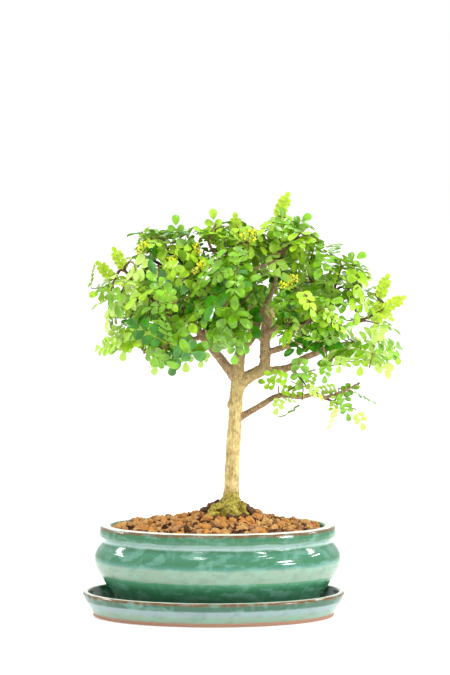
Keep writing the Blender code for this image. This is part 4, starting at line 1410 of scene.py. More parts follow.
PLANS = (
    LeafPlan(2, 8.0, 8.6, 12.8, 9.4, math.radians(58)),
    LeafPlan(3, 7.0, 7.6, 11.6, 8.2, math.radians(60)),
    LeafPlan(3, 6.5, 7.0, 10.6, 7.2, math.radians(62)),
    LeafPlan(4, 6.0, 6.4, 9.6, 6.2, math.radians(62)),
)
SHOOT_PLAN = LeafPlan(4, 3.0, 5.0, 9.0, 6.4, math.radians(50), end_scale=0.85, rib_radius=0.72, fold=0.32,
                      curl=0.05, serrate=0.08, taper=0.2,
                      rows=((0.05, 0.8), (0.26, 1.0), (0.52, 1.0), (0.78, 0.86), (0.94, 0.5)))
TEMPLATE_SEEDS = (3, 5, 8)


class Space:
    """The room that one mass keeps to: nearer to its own middle than to any other's."""

    def __init__(self, mass: Mass) -> None:
        """Work out the walls between a mass and its neighbours.

        Args:
            mass: The mass.
        """
        self.centre = Vector(mass.centre)
        self.half_sizes = mass.half_sizes
        self.walls = []
        for other in MASSES:
            if other is not mass:
                across = Vector(other.centre) - self.centre
                self.walls.append((across.normalized(), across.length / 2 - SPACE_MARGIN))

    def holds(self, points: Iterable[Vector], share: float = 1.0, overlap: float = 0.0) -> bool:
        """Say whether every point is inside.

        Args:
            points: The points.
            share: The share of the half sizes that counts as inside.
            overlap: How far the points may pass the walls to the neighbours.

        Returns:
            True where all of them are inside.
        """
        for point in points:
            local = point - self.centre
            if sum((local[i] / (share * self.half_sizes[i])) ** 2 for i in range(3)) > 1:
                return False
            if any(local.dot(normal) > reach + overlap for normal, reach in self.walls):
                return False
        return True

    def spread(self, rng: random.Random, count: int, apart: float, share: float) -> list[Vector]:
        """Spread points evenly through the room.

        Args:
            rng: The chance that places them.
            count: How many are wanted.
            apart: How far apart they stay.
            share: The share of the half sizes that they may use.

        Returns:
            The points, which may be fewer where the room is small.
        """
        found: list[Vector] = []
        for _ in range(count * SPREAD_TRIES):
            spot = Vector([rng.uniform(-1, 1) * size * share for size in self.half_sizes]) + self.centre
            inside = self.holds([spot], share, WALL_OVERLAP / 2)
            if inside and all((spot - other).length > apart for other in found):
                found.append(spot)
            if len(found) == count:
                break
        return found


class Twig:
    """A bent twig that grows from another's end, or from the tip of the mass's limb."""

    def __init__(self, points: list[Vector], parent: "Twig | None") -> None:
        """Take the twig's way.

        Args:
            points: Its points, from its foot.
            parent: The twig that it grows from.
        """
        self.points = points
        self.parent = parent
        self.end = points[-1]
        self.ahead = (points[-1] - points[-2]).normalized()
        self.run = sum((b - a).length for a, b in zip(points, points[1:])) + (parent.run if parent else 0)
        self.tips = 0
        self.tone = Tone.MID

    def radius(self) -> float:
        """Return the thickness that the leaves beyond give it."""
        return TWIG_TIP_RADIUS * max(self.tips, 1) ** TWIG_GROWTH

    def curve(self, steps: int) -> list[Vector]:
        """Return the twig's points as a smooth curve."""
        return smooth_path(self.points, steps)


def twig_towards(tree: Sequence[Twig], target: Vector) -> Twig:
    """Bend a new twig from the best placed end in the tree to a target.

    Args:
        tree: The twigs so far.
        target: Where the new one goes.

    Returns:
        The new twig.
    """
    parent = min(tree, key=lambda twig: (twig.end - target).length + TWIG_PATH_COST * twig.run)
    bend = parent.end + parent.ahead * TWIG_BEND * (target - parent.end).length
    middle = 0.25 * parent.end + 0.5 * bend + 0.25 * target
    return Twig([parent.end, middle, target], parent)


def skin_tree(ring_sets: Iterable[Sequence[Sequence[Vector]]]) -> BVHTree:
    """Sort the skins of some tubes, to test whether something crosses them.

    Args:
        ring_sets: Each tube's rings.

    Returns:
        The search tree.
    """
    batch = Batch()
    for rings in ring_sets:
        batch.add(*tube_arrays(rings))
    return BVHTree.FromPolygons(batch.points, batch.faces)


class Neighbours:
    """The leaves grown so far, found by where they are."""

    def __init__(self) -> None:
        """Start with none."""
        self.cells: dict[tuple[int, ...], list[Leaf]] = {}

    def cell(self, point: Vector) -> tuple[int, ...]:
        """Return the cell that holds a point."""
        return tuple(int(part // NEIGHBOUR_CELL) for part in point)

    def add(self, leaf: "Leaf") -> None:
        """Remember a leaf."""
        self.cells.setdefault(self.cell(leaf.middle), []).append(leaf)

    def near(self, point: Vector) -> "list[Leaf]":
        """Return the leaves that might touch one whose middle is at a point."""
        x, y, z = self.cell(point)
        return [leaf for i in (x - 1, x, x + 1) for j in (y - 1, y, y + 1) for k in (z - 1, z, z + 1)
                for leaf in self.cells.get((i, j, k), ())]


class Leaf:
    """A leaf in its place. Its leaflets lift a little and its rib droops."""

    def __init__(self, template: LeafTemplate, foot: Vector, ahead: Vector, up: Vector, scale: float,
                 droop: float, tone: Tone) -> None:
        """Place a template.

        Args:
            template: The leaf's arrays.
            foot: Where it leaves its twig.
            ahead: The way that its rib points.
            up: The way that its upper face looks.
            scale: Its size.
            droop: How far its tip hangs, as a share of its length.
            tone: Its green.
        """
        self.template = template
        self.foot = foot
        self.ahead = ahead
        self.side = ahead.cross(up).normalized()
        self.up = self.side.cross(ahead).normalized()
        self.scale = scale
        self.droop = droop
        self.tone = tone
        self.middle = foot + ahead * LEAF_MIDDLE * template.plan.length * scale
        self.corners = [self.put(point) for point in template.test_points]
        self.tree = BVHTree.FromPolygons(self.corners, template.test_faces)

    def put(self, point: Point) -> Vector:
        """Put a point of the flat leaf in its place.

        Args:
            point: The point.

        Returns:
            Where it comes to lie.
        """
        along, across, lift = point
        sag = self.droop * along * abs(along) / self.template.plan.length
        lift = lift + LEAFLET_LIFT * abs(across) - sag
        return self.foot + self.scale * (self.ahead * along + self.side * across + self.up * lift)


def under_dome(point: Vector) -> bool:
    """Say whether a point lies under the crown's uneven dome, which only the reaches pass."""
    fall = DOME_FALL * ((point.x - DOME_X) / DOME_HALF_LENGTH) ** 4
    rise = DOME_PEAK_RISE * math.exp(-((point.x - DOME_PEAK_X) / DOME_PEAK_WIDTH) ** 2)
    return point.z < DOME_TOP_Z - fall + rise + DOME_UNEVEN * noise.noise(point / DOME_UNEVEN_SIZE)


def add_leaf(batch: Batch, leaf: Leaf, tones: Sequence[Tone]) -> None:
    """Add a leaf to a batch.

    Args:
        batch: The batch.
        leaf: The leaf.
        tones: The batch's tones, each with a slot for the upper and the lower faces. The rib's is the last.
    """
    base = 2 * tones.index(leaf.tone)
    slots = [2 * len(tones) if slot == RIB_SLOT else base + slot for slot in leaf.template.slots]
    batch.add([leaf.put(point) for point in leaf.template.points], leaf.template.faces, slots)


def leaf_finishes(tones: Iterable[Tone]) -> list[PlainFinish]:
    """Return the finishes for the slots of leaves in those tones."""
    return [finish for tone in tones for finish in tone.value] + [RIB]


class Foliage:
    """One mass: its twigs and leaves, grown by the source's rule and then finer in the same room."""

    def __init__(self, mass: Mass, limb_tree: BVHTree, neighbours: Neighbours,
                 templates: Sequence[LeafTemplate], shoots: Sequence[LeafTemplate], seed: int) -> None:
        """Start a mass with the stem at its limb's tip.

        Args:
            mass: What to grow.
            limb_tree: The skins of the limbs, which nothing may cross.
            neighbours: All the crown's leaves so far.
            templates: The leaves to choose from.
            shoots: The young leaves of lime shoots.
            seed: The seed of the mass's own chance.
        """
        self.mass = mass
        self.neighbours = neighbours
        self.space = Space(mass)
        self.limb_tree = limb_tree
        self.templates = templates
        self.shoots = shoots
        self.rng = random.Random(seed)
        self.fine_rng = random.Random(seed + FINE_SEED_SHIFT)
        limb = next(bough for bough in BOUGHS if bough.name == mass.limb)
        points, radii = limb.path(STEM_LIMB_STEPS)
        ahead = (points[-1] - points[-2]).normalized()
        foot = points[-1] + ahead * GAP
        self.stem_radius = radii[-1]
        self.twigs = [Twig([foot, foot + ahead * STEM_LENGTH], None)]
        self.leaves: list[Leaf] = []
        self.flower_twigs: list[Twig] = []

    def pick_tone(self, place: Vector) -> Tone:
        """Choose a green by the mass's shares, or mostly the pale green painted as backlit at the crown's
        left edge.
        """
        weights = EDGE_TONES if place.x < self.mass.pale_before_x else self.mass.tones
        return self.fine_rng.choices(list(Tone), weights=weights)[0]

    def grow_twig(self, target: Vector, test_radius: float) -> Twig | None:
        """Grow a twig to a target.

        Args:
            target: Where it goes.
            test_radius: How thick it is taken to be when it is tested.

        Returns:
            The twig, or None where it can't get there.
        """
        twig = twig_towards(self.twigs, target)
        rings = tube_rings(twig.points, [test_radius] * len(twig.points), TEST_SIDES)
        if not self.space.holds([point for ring in rings[1:] for point in ring], overlap=WALL_OVERLAP):
            return None
        tree = skin_tree([rings])
        if self.limb_tree.overlap(tree) or any(tree.overlap(leaf.tree) for leaf in self.leaves):
            return None
        twig.tone = self.pick_tone(target)
        self.twigs.append(twig)
        return twig

    def leaf_fits(self, leaf: Leaf) -> bool:
        """Say whether a leaf stays in the room and crosses no limb or other leaf.

        Args:
            leaf: The leaf.

        Returns:
            True where it does.
        """
        if not self.space.holds(leaf.corners, overlap=WALL_OVERLAP) or leaf.tree.overlap(self.limb_tree):
            return False
        if not all(under_dome(point) and point.z > self.mass.skirt_z for point in leaf.corners):
            return False
        return not any(leaf.tree.overlap(other.tree) for other in self.neighbours.near(leaf.middle))

    def face_out(self, foot: Vector, ahead: Vector) -> Vector:
        """Turn a leaf's upper face up, and out of the crown.

        Args:
            foot: Where the leaf leaves its twig.
            ahead: The way that its rib points.

        Returns:
            The way that the face looks.
        """
        rng = self.fine_rng
        outward = (foot - CROWN_HEART).normalized()
        wander = Vector([rng.gauss(0, 1) for _ in range(3)])
        up = self.mass.lift * UP + LEAF_FACING["outward"] * outward + LEAF_FACING["chance"] * wander
        if up.cross(ahead).length < LEAF_FACING["least_turn"]:
            up = up + ahead.orthogonal()
        return up.normalized()

    def leaf_on(self, twig: Twig) -> None:
        """Put a leaf on a twig, the first at its end, where it fits with the most room round it.

        Args:
            twig: The twig.
        """
        rng = self.fine_rng
        foot = twig.end.lerp(twig.points[-2], min(LEAF_STEP_BACK * twig.tips, 1.0))
        outward = (foot - self.space.centre).normalized()
        lowness = within_one((CROWN_TOP_Z - foot.z) / (CROWN_TOP_Z - CROWN_BOTTOM_Z))
        near = self.neighbours.near(foot)
        best, best_room = None, 0.0
        for _ in range(LEAF_TRIES):
            wander = Vector([rng.gauss(0, 1) for _ in range(3)])
            way = LEAF_WAY["outward"] * outward + LEAF_WAY["along"] * twig.ahead + LEAF_WAY["chance"] * wander
            way = (way.normalized() - UP * LEAF_SETTLE * lowness * rng.random()).normalized()
            scale = self.mass.leaf_scale * rng.uniform(*LEAF_SCALES)
            young = twig.tone is Tone.LIME
            template = rng.choice(self.shoots if young else self.templates)
            facing = self.face_out(foot, way)
            leaf = Leaf(template, foot, way, facing, scale, rng.uniform(*LEAF_DROOPS), twig.tone)
            room = min([(leaf.middle - other.middle).length for other in near], default=1.0)
            if room > best_room and self.leaf_fits(leaf):
                best, best_room = leaf, room
        if best:
            self.keep(best, twig)

    def keep(self, leaf: Leaf, twig: Twig) -> None:
        """Add a leaf that grows on a twig."""
        self.leaves.append(leaf)
        self.neighbours.add(leaf)
        twig.tips += 1

    def grow_reaches(self) -> None:
        """Grow the leaves that mark how far the mass goes."""
        scale = REACH_LEAF_SCALE * self.mass.leaf_scale
        for reach in self.mass.reaches:
            way = Vector(reach.way).normalized()
            foot = Vector(reach.tip) - way * SOURCE_LEAF_LENGTH * scale
            twig = self.grow_twig(foot, TWIG_TEST_RADIUS)
            if not twig:
                LOG.warning("%s: no twig to the reach at %s", self.mass.name, reach.tip)
                continue
            twig.tone = reach.tone
            template = (self.shoots if reach.tone is Tone.LIME else self.templates)[0]
            size = SOURCE_LEAF_LENGTH * scale / template.plan.length
            facing = REACH_FACING if abs(way.y) < FRONT_FACING_UP_TO else UP
            self.keep(Leaf(template, twig.end, way, facing, size, REACH_DROOP, reach.tone), twig)

    def grow(self) -> None:
        """Grow twigs to the reaches, the flowers and evenly through the room, and give them leaves."""
        self.grow_reaches()
        wanted = round(self.mass.source_leaves / SOURCE_LEAVES_PER_TWIG)
        for spot in self.space.spread(self.rng, wanted, SOURCE_SPACING, INNER_SHARE):
            self.grow_twig(spot, TWIG_TEST_RADIUS)
        for flower in self.mass.flowers:
            twig = self.grow_twig(Vector(flower) - UP * FLOWER_TWIG_DROP, FINE_TEST_RADIUS)
            if twig:
                twig.tips += 1
                self.flower_twigs.append(twig)
            else:
                LOG.warning("%s: no twig to the flowers at %s", self.mass.name, flower)
        wanted = round(self.mass.leaves / LEAVES_PER_FINE_TWIG)
        for spot in self.space.spread(self.fine_rng, wanted, FINE_SPACING, OUTER_SHARE):
            self.grow_twig(spot, FINE_TEST_RADIUS)
        twigs = [twig for twig in self.twigs[:0:-1] if twig not in self.flower_twigs]
        for _ in range(MOST_LEAVES_ON_TWIG):
            for twig in twigs:
                if len(self.leaves) < self.mass.leaves:
                    self.leaf_on(twig)
        self.count_tips()
        LOG.info("%s: %d leaves of %d, %d twigs", self.mass.name, len(self.leaves), self.mass.leaves,
                 len(self.twigs))

    def count_tips(self) -> None:
        """Count the leaves on and beyond each twig, and drop the twigs that carry none."""
        own = [twig.tips for twig in self.twigs]
        for twig, leaves in zip(self.twigs, own):
            carrier = twig.parent
            while carrier:
                carrier.tips += leaves
                carrier = carrier.parent
        self.twigs = [twig for twig in self.twigs if twig.tips or not twig.parent]

    def add_twigs(self, batch: Batch) -> None:
        """Add the twigs as tapering tubes whose feet are sunk in what carries them.

        Args:
            batch: The batch.
        """
        for twig in self.twigs:
            foot = min(twig.parent.radius(), self.stem_radius) if twig.parent else self.stem_radius
            tip = min(twig.radius(), foot)
            points = twig.curve(TWIG_STEPS)
            sink = TWIG_SINK * foot if twig.parent else STEM_SINK
            points[0] = points[0] - (points[1] - points[0]).normalized() * sink
            points[-1] = points[-1] + twig.ahead * TWIG_PAST_END * tip
            count = len(points) - 1
            radii = [foot + (tip - foot) * (i / count) ** TWIG_TAPER for i in range(count + 1)]
            points[1:-1] = [point + noise.noise_vector(point / TWIG_WANDER_LENGTH) * TWIG_WANDER
                            for point in points[1:-1]]
            batch.add(*tube_arrays(tube_rings(points, radii, TWIG_SIDES)), int(foot < BROWN_FROM_RADIUS))

    def build(self) -> list[bpy.types.Object]:
        """Make the mass's pieces.

        Returns:
            The twigs and the leaves.
        """
        name = self.mass.name.removesuffix("_foliage")
        twigs, leaves = Batch(), Batch()
        self.add_twigs(twigs)
        tones = sorted({leaf.tone for leaf in self.leaves}, key=list(Tone).index)
        for leaf in self.leaves:
            add_leaf(leaves, leaf, tones)
        pieces = [twigs.piece(name + "_twigs", [BROWN_TWIG, GREEN_TWIG]),
                  leaves.piece(name + "_leaves", leaf_finishes(tones))]
        for piece in pieces:
            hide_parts(self.mass.name)
        return pieces


@dataclass
class Crown:
    """All the masses of foliage, and the flowers on them."""

    limb_steps: int = 2
    trunk_sides: int = 12
    limb_sides: int = 8
    carrier_limb_steps: int = 8
    carrier_twig_steps: int = 4
    stalk_radii: Range = (0.75, 0.55)
    stalk_steps: int = 3
    stalk_sides: int = 5
    stalk_rise: float = 0.12
    stalk_in_leaf: float = 0.5

    def build(self) -> list[bpy.types.Object]:
        """Grow every mass and make its pieces.

        Returns:
            All pieces of the crown.
        """
        rings = [trunk_rings(self.limb_steps, self.trunk_sides, LIMB_CLEARANCE)]
        for limb in BOUGHS:
            points, radii = limb.path(self.limb_steps)
            rings.append(tube_rings(points, [radius + LIMB_CLEARANCE for radius in radii], self.limb_sides))
        limb_tree = skin_tree(rings)
        templates = [plan.template(seed) for seed in TEMPLATE_SEEDS for plan in PLANS]
        shoots = [SHOOT_PLAN.template(seed) for seed in TEMPLATE_SEEDS]
        pieces = []
        flowers = Batch()
        neighbours = Neighbours()
        carriers = [point for limb in BOUGHS for point in limb.path(self.carrier_limb_steps)[0]]
        for seed, mass in enumerate(MASSES, FIRST_SEED):
            foliage = Foliage(mass, limb_tree, neighbours, templates, shoots, seed)
            foliage.grow()
            pieces += foliage.build()
            carriers += [point for twig in foliage.twigs for point in twig.curve(self.carrier_twig_steps)]
            for twig in foliage.flower_twigs:
                FlowerCluster(twig.end, twig.ahead, seed).add(flowers)
        blossom = flowers.piece("flowers", [PETAL, BUD, RIB])
        return [*pieces, blossom, *self.build_hanging(templates, carriers)]

    def build_hanging(self, templates: Sequence[LeafTemplate],
                      carriers: Sequence[Vector]) -> list[bpy.types.Object]:
        """Return the leaves that hang by themselves, and their stalks.

        Args:
            templates: The leaves to choose from.
            carriers: Points on the limbs and twigs that may carry them.

        Returns:
            The stalks and the leaves.
        """
        tree = place_tree(carriers)
        tones = list(Tone)
        stalks, leaves = Batch(), Batch()
        thick, thin = self.stalk_radii
        for index, hanging in enumerate(HANGING_LEAVES):
            foot = Vector(hanging.foot)
            across = Vector(hanging.tip) - foot
            template = templates[hanging.plan + len(PLANS) * (index % len(TEMPLATE_SEEDS))]
            way = across.normalized()
            size = across.length / template.plan.length
            leaf = Leaf(template, foot, way, Vector(hanging.facing), size, HANGING_DROOP, hanging.tone)
            add_leaf(leaves, leaf, tones)
            start = Vector(tree.find(foot)[0])
            bend = start.lerp(foot, 0.5) + UP * self.stalk_rise * (foot - start).length
            path = smooth_path([start, bend, foot, foot + way * self.stalk_in_leaf], self.stalk_steps)
            radii = [thick] * self.stalk_steps + [thin] * (len(path) - self.stalk_steps)
            stalks.add(*tube_arrays(tube_rings(path, radii, self.stalk_sides)))
        pieces = [stalks.piece("hanging_stalks", [GREEN_TWIG]),
                  leaves.piece("hanging_leaves", leaf_finishes(tones))]
        return pieces


@dataclass
class FlowerCluster:
    """A few loose heads of small yellow flowers on fine stalks."""

    foot: Vector
    ahead: Vector
    seed: int
    heads: int = 4
    head_reach: float = 7.5
    head_radius: float = 3.2
    flowers: int = 15
    flower_radius: float = 1.05
    bud_share: float = 0.5
    turn_wander: float = 0.4
    outs: Range = (0.35, 0.9)
    rises: Range = (0.5, 1.15)
    flower_reaches: Range = (0.55, 1.05)
    bud_sizes: Range = (0.55, 0.75)
    flower_sizes: Range = (0.8, 1.2)
    unevenness: Range = (0.75, 1.2)
    head_stalk: float = 0.4
    flower_stalk: float = 0.2
    stalk_bow: float = 0.3
    stalk_sides: int = 3

    def add(self, batch: Batch) -> None:
        """Add the stalks and the flowers.

        Args:
            batch: The batch.
        """
        rng = random.Random(self.seed * 7 + 1)
        axis = (self.ahead + UP).normalized()
        side = axis.orthogonal().normalized()
        other = axis.cross(side)
        for head in range(self.heads):
            turn = GOLDEN_ANGLE * head + rng.uniform(-self.turn_wander, self.turn_wander)
            out = (side * math.cos(turn) + other * math.sin(turn)) * rng.uniform(*self.outs)
            middle = self.foot + (axis * rng.uniform(*self.rises) + out) * self.head_reach
            self.add_stalk(batch, self.foot, middle, self.head_stalk)
            for index in range(self.flowers):
                lean = math.acos(1 - 2 * (index + 0.5) / self.flowers)
                turn = GOLDEN_ANGLE * index
                level = math.sin(lean)
                way = Vector((level * math.cos(turn), level * math.sin(turn), math.cos(lean)))
                place = middle + way * self.head_radius * rng.uniform(*self.flower_reaches)
                self.add_stalk(batch, middle, place, self.flower_stalk)
                self.add_flower(batch, place, rng)

    def add_stalk(self, batch: Batch, start: Vector, end: Vector, radius: float) -> None:
        """Add one stalk."""
        middle = start.lerp(end, 0.5) + UP * self.stalk_bow
        path = [start, middle, end]
        batch.add(*tube_arrays(tube_rings(path, [radius] * len(path), self.stalk_sides)), RIB_SLOT)

    def add_flower(self, batch: Batch, place: Vector, rng: random.Random) -> None:
        """Add one flower or bud.

        Args:
            batch: The batch.
            place: Its middle.
            rng: The cluster's chance.
        """
        ball, ball_faces = ball_arrays(1)
        bud = rng.random() < self.bud_share
        radius = self.flower_radius * rng.uniform(*(self.bud_sizes if bud else self.flower_sizes))
        points = [place + point * radius * rng.uniform(*self.unevenness) for point in ball]
        batch.add(points, ball_faces, int(bud))


@functools.cache
def ball_arrays(subdivisions: int) -> tuple[tuple[Vector, ...], tuple[tuple[int, ...], ...]]:
    """Make a small ball of radius one.

    Args:
        subdivisions: How finely it is divided.

    Returns:
        Its points and faces.
    """
    bm = bmesh.new()
    bmesh.ops.create_icosphere(bm, subdivisions=subdivisions, radius=1.0)
    points = tuple(vert.co.copy() for vert in bm.verts)
    faces = tuple(tuple(vert.index for vert in face.verts) for face in bm.faces)
    bm.free()
    return points, faces


# The soil


@dataclass
class GranuleBed:
    """Baked clay granules on the soil's mound, with crumbs and moss at the trunk's foot."""

    count: int = 1900
    radii: Range = (1.4, 4.0)
    sink: float = 1.6
    rises: Range = (0.0, 0.5)
    centre_x: float = 3.4
    half_length: float = 87.0
    half_width: float = 63.0
    seed: int = 29
    level_z: float = 71.0
    drop_z: float = 120.0
    clear_radius: float = 12.0
    darker_radius: float = 26.0
    weights: tuple[int, ...] = (6, 8, 6, 4, 2)
    darker_weights: tuple[int, ...] = (2, 3, 4, 5, 6)
    small_power: float = 1.4
    most_tilt: float = 0.6
    sharp: float = 42.0
    shapes: int = 12
    squashes: Range = (0.75, 1.1)
    offsets: Range = (0.0, 50.0)
    coarse_lump: float = 0.5
    coarse_scale: float = 1.3
    fine_lump: float = 0.42
    fine_scale: float = 3.1
    crumbs: int = 260
    crumb_reach: Range = (9.0, 27.0)
    crumb_turns: Range = (-0.15, 1.15)
    crumb_radii: Range = (0.9, 2.2)
    crumb_rises: Range = (-1.5, 1.0)
    crumb_tilt: float = 0.4
    crumb_top_z: float = 95.0
    crumb_fall: float = 11.5
    brown_share: float = 0.25
    moss_tufts: int = 700
    flare_steps: int = 5
    flare_sides: int = 48
    moss_top_z: float = 98.0
    moss_low_power: float = 1.3
    moss_gap: float = -0.12
    moss_gap_size: float = 5.0
    moss_radii: Range = (0.4, 0.9)
    moss_flatness: float = 0.9
    moss_unevenness: Range = (0.8, 1.25)

    def lumps(self, rng: random.Random) -> list[tuple[list[Vector], tuple[tuple[int, ...], ...]]]:
        """Shape a few knobbly granules.

        Args:
            rng: The bed's chance.

        Returns:
            Each one's points and faces.
        """
        ball, faces = ball_arrays(2)
        made = []
        for _ in range(self.shapes):
            offset = Vector([rng.uniform(*self.offsets) for _ in range(3)])
            squash = Vector([rng.uniform(*self.squashes) for _ in range(3)])
            points = []
            for point in ball:
                swell = 1 + self.coarse_lump * noise.noise(point * self.coarse_scale + offset)
                swell += self.fine_lump * noise.noise(point * self.fine_scale + offset)
                points.append(Vector([point[i] * squash[i] for i in range(3)]) * swell)
            made.append((points, faces))
        return made

    def build(self, soil: bpy.types.Object) -> list[bpy.types.Object]:
        """Scatter the granules over the soil node.

        Args:
            soil: The packed soil, on which they lie.

        Returns:
            The granules, the crumbs and the moss.
        """
        rng = random.Random(self.seed)
        ground = BVHTree.FromPolygons([vert.co / MM for vert in soil.data.vertices],
                                      [tuple(face.vertices) for face in soil.data.polygons])
        lumps = self.lumps(rng)
        batch = Batch()
        slots = range(len(GRANULES))
        placed = 0
        while placed < self.count:
            x = rng.uniform(-1, 1)
            y = rng.uniform(-1, 1)
            if x * x + y * y > 1:
                continue
            spot = Vector((self.centre_x + x * self.half_length, y * self.half_width, self.drop_z))
            hit = ground.ray_cast(spot, -UP)[0]
            from_trunk = math.hypot(spot.x - TRUNK.knots[0][0], spot.y)
            if hit is None or from_trunk < self.clear_radius:
                continue
            radius = self.radii[0] + (self.radii[1] - self.radii[0]) * rng.random() ** self.small_power
            level = max(hit.z - self.sink, self.level_z) + radius * rng.uniform(*self.rises)
            middle = Vector((hit.x, hit.y, level))
            points, faces = rng.choice(lumps)
            turn = rng.uniform(0, math.tau)
            tilt = rng.uniform(-self.most_tilt, self.most_tilt)
            weights = self.weights if from_trunk > self.darker_radius else self.darker_weights
            batch.add([middle + turned(point, turn, tilt) * radius for point in points], faces,
                      rng.choices(slots, weights=weights)[0])
            placed += 1
        granules = batch.piece("clay_granules", GRANULES, self.sharp)
        return [granules, self.build_crumbs(lumps, rng), self.build_moss(rng)]

    def build_crumbs(self, lumps: Sequence, rng: random.Random) -> bpy.types.Object:
        """Heap dark crumbs of soil against the flare, at its sides and behind it.

        Args:
            lumps: The shapes to choose from.
            rng: The bed's chance.

        Returns:
            The crumbs.
        """
        batch = Batch()
        nearest, farthest = self.crumb_reach
        for _ in range(self.crumbs):
            turn = rng.uniform(*self.crumb_turns) * math.pi
            reach = rng.uniform(nearest, farthest)
            share = (reach - nearest) / (farthest - nearest)
            top = self.crumb_top_z - share * self.crumb_fall + rng.uniform(*self.crumb_rises)
            middle = Vector((TRUNK.knots[0][0] + reach * math.cos(turn), reach * math.sin(turn), top))
            points, faces = rng.choice(lumps)
            radius = rng.uniform(*self.crumb_radii)
            spin = rng.uniform(0, math.tau)
            batch.add([middle + turned(point, spin, self.crumb_tilt) * radius for point in points], faces,
                      int(rng.random() < self.brown_share))
        crumbs = batch.piece("soil_crumbs", [CRUMB, GRANULES[3]], self.sharp)
        return crumbs

    def build_moss(self, rng: random.Random) -> bpy.types.Object:
        """Scatter tufts of moss over the root flare, with bare gaps.

        Args:
            rng: The bed's chance.

        Returns:
            The moss.
        """
        ball, faces = ball_arrays(1)
        batch = Batch()
        rings = trunk_rings(self.flare_steps, self.flare_sides)
        flare = [ring for ring in rings if ring[0].z < self.moss_top_z]
        for _ in range(self.moss_tufts):
            level = rng.random() ** self.moss_low_power * (len(flare) - 1)
            low = int(level)
            i = rng.randrange(len(flare[0]))
            j = (i + 1) % len(flare[0])
            across = rng.random()
            lower = flare[low][i].lerp(flare[low][j], across)
            upper = flare[min(low + 1, len(flare) - 1)]
            point = lower.lerp(upper[i].lerp(upper[j], across), level - low)
            if noise.noise(point / self.moss_gap_size) < self.moss_gap:
                continue
            radius = rng.uniform(*self.moss_radii)
            points = [point + Vector((p.x, p.y, p.z * self.moss_flatness)) * radius
                      * rng.uniform(*self.moss_unevenness) for p in ball]
            batch.add(points, faces)
        moss = batch.piece("moss", [MOSS_TUFT], 180)
        return moss


def turned(point: Vector, turn: float, tilt: float) -> Vector:
    """Turn a point about the upright axis and tilt it.

    Args:
        point: The point.
        turn: The turn's angle.
        tilt: The tilt's angle.

    Returns:
        Where the point comes to lie.
    """
    x = point.x * math.cos(turn) - point.y * math.sin(turn)
    y = point.x * math.sin(turn) + point.y * math.cos(turn)
    z = y * math.sin(tilt) + point.z * math.cos(tilt)
    return Vector((x, y * math.cos(tilt) - point.z * math.sin(tilt), z))


# The studio


@dataclass(frozen=True)
class SoftLight:
    """A window, given by its bearing from the viewer's side, its height and its panes' size in metres."""

    name: str
    bearing: float
    elevation: float
    distance: float
    width: float
    height: float
    power: float
    panes: int = 2
    pane_turn: float = 9.0
    pane_swing: float = 0.0
    mirrored: bool = True
    aim_z: float = 0.15

    def build(self) -> None:
        """Put its panes in the scene one above the other, turned towards the plant."""
        for pane in range(self.panes):
            lamp = bpy.data.lights.new(f"{self.name}_{pane}", "AREA")
            lamp.shape = "RECTANGLE"
            lamp.size = self.width
            lamp.size_y = self.height
            lamp.energy = self.power
            made = put_in_scene(lamp.name, lamp)
            step = pane - 0.5 * (self.panes - 1)
            turn = math.radians(self.bearing + step * self.pane_swing)
            rise = math.radians(self.elevation + step * self.pane_turn)
            level = math.cos(rise)
            away = Vector((math.sin(turn) * level, -math.cos(turn) * level, math.sin(rise)))
            made.location = UP * self.aim_z + away * self.distance
            made.rotation_euler = (-away).to_track_quat("-Z", "Y").to_euler()
            made.visible_camera = False
            made.visible_glossy = self.mirrored


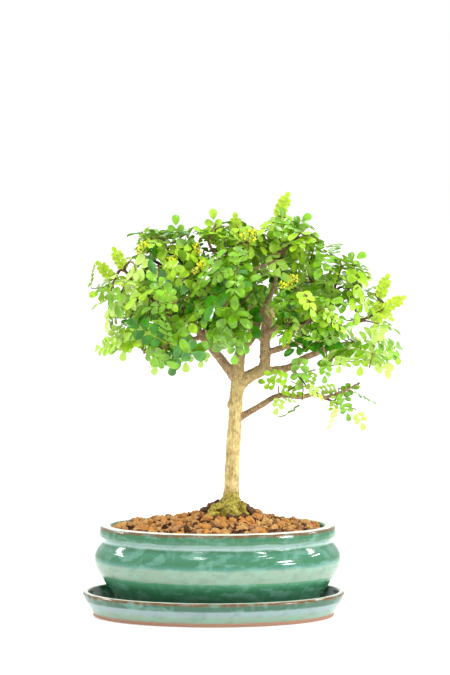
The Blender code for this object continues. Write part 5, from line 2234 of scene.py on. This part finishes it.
@dataclass
class Studio:
    """The pale floor, the white backdrop, the soft lamps and the camera."""

    camera_place: Point = (0.00954, -2.6, 0.38)
    camera_pitch: float = 3.26
    focal_length: float = 167.09
    sensor: float = 36.0
    floor_size: float = 30.0
    floor_drop: float = 0.0002
    floor_colour: Colour = (0.92, 0.92, 0.92)
    floor_roughness: float = 0.35
    floor_glow: float = 0.35
    backdrop: float = 1.0
    lamps: tuple[SoftLight, ...] = (
        SoftLight("key_right", 57, 20, 1.6, 0.34, 0.15, 6.0, pane_turn=13.0),
        SoftLight("side_left", -107.8, 31.7, 1.7, 0.40, 0.08, 4.4, pane_turn=5.0, pane_swing=-9.5),
        SoftLight("side_right", 106.7, 33.8, 1.7, 0.42, 0.08, 3.6, pane_turn=9.0, pane_swing=7.3),
        SoftLight("front_left", -20, 58, 2.0, 0.26, 0.06, 2.2),
        SoftLight("front_right", 55, 56, 2.0, 0.20, 0.06, 1.4),
        SoftLight("overhead", -20, 75, 1.8, 1.2, 1.2, 15.0, panes=1, mirrored=False),
    )

    def build_floor(self) -> bpy.types.Object:
        """Make the floor, which reaches out of sight.

        Returns:
            The floor.
        """
        bm = bmesh.new()
        bmesh.ops.create_grid(bm, x_segments=1, y_segments=1, size=self.floor_size / 2)
        mesh = mesh_of(bm, "floor")
        nodes = NodeTree("floor_white")
        nodes.finish(self.floor_colour, self.floor_roughness, emission_strength=self.floor_glow)
        nodes.shader.inputs["Emission Color"].default_value = (1.0, 1.0, 1.0, 1.0)
        mesh.materials.append(nodes.material)
        floor = put_in_scene("floor", mesh)
        floor.location.z = -self.floor_drop
        return floor

    def build_backdrop(self) -> None:
        """Make the world plain white."""
        world = bpy.data.worlds.new("backdrop")
        world.use_nodes = True
        background = world.node_tree.nodes["Background"]
        background.inputs["Color"].default_value = (1.0, 1.0, 1.0, 1.0)
        background.inputs["Strength"].default_value = self.backdrop
        bpy.context.scene.world = world

    def build_camera(self) -> None:
        """Put the camera where the photograph was taken from."""
        lens = bpy.data.cameras.new("camera")
        lens.sensor_width = self.sensor
        lens.lens = self.focal_length
        camera = put_in_scene("camera", lens)
        camera.location = self.camera_place
        camera.rotation_euler = (math.radians(90 - self.camera_pitch), 0.0, 0.0)
        bpy.context.scene.camera = camera

    def build(self) -> None:
        """Make the whole studio."""
        self.build_floor()
        self.build_backdrop()
        self.build_camera()
        for lamp in self.lamps:
            lamp.build()
        bpy.context.scene.view_settings.view_transform = "Standard"


def report(pieces: Iterable[bpy.types.Object]) -> None:
    """Log each piece's name and how many triangles it has."""
    for piece in pieces:
        piece.data.calc_loop_triangles()
        LOG.info("%s: %d triangles", piece.name, len(piece.data.loop_triangles))


def main() -> None:
    """Build the studio and every part of the plant in its pot."""
    logging.basicConfig(level=logging.INFO, format="%(name)s: %(message)s")
    noise.seed_set(WANDER_SEED)
    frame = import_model()
    Studio().build()
    report([TRAY.build(), POT.build()])
    soil = frame["nodes"]["soil"]
    soil.data.materials.clear()
    soil.data.materials.append(dressed(SOIL))
    report(GranuleBed().build(soil))
    report([BarkSkin().build()])
    report(Crown().build())


if __name__ == "__main__":
    main()
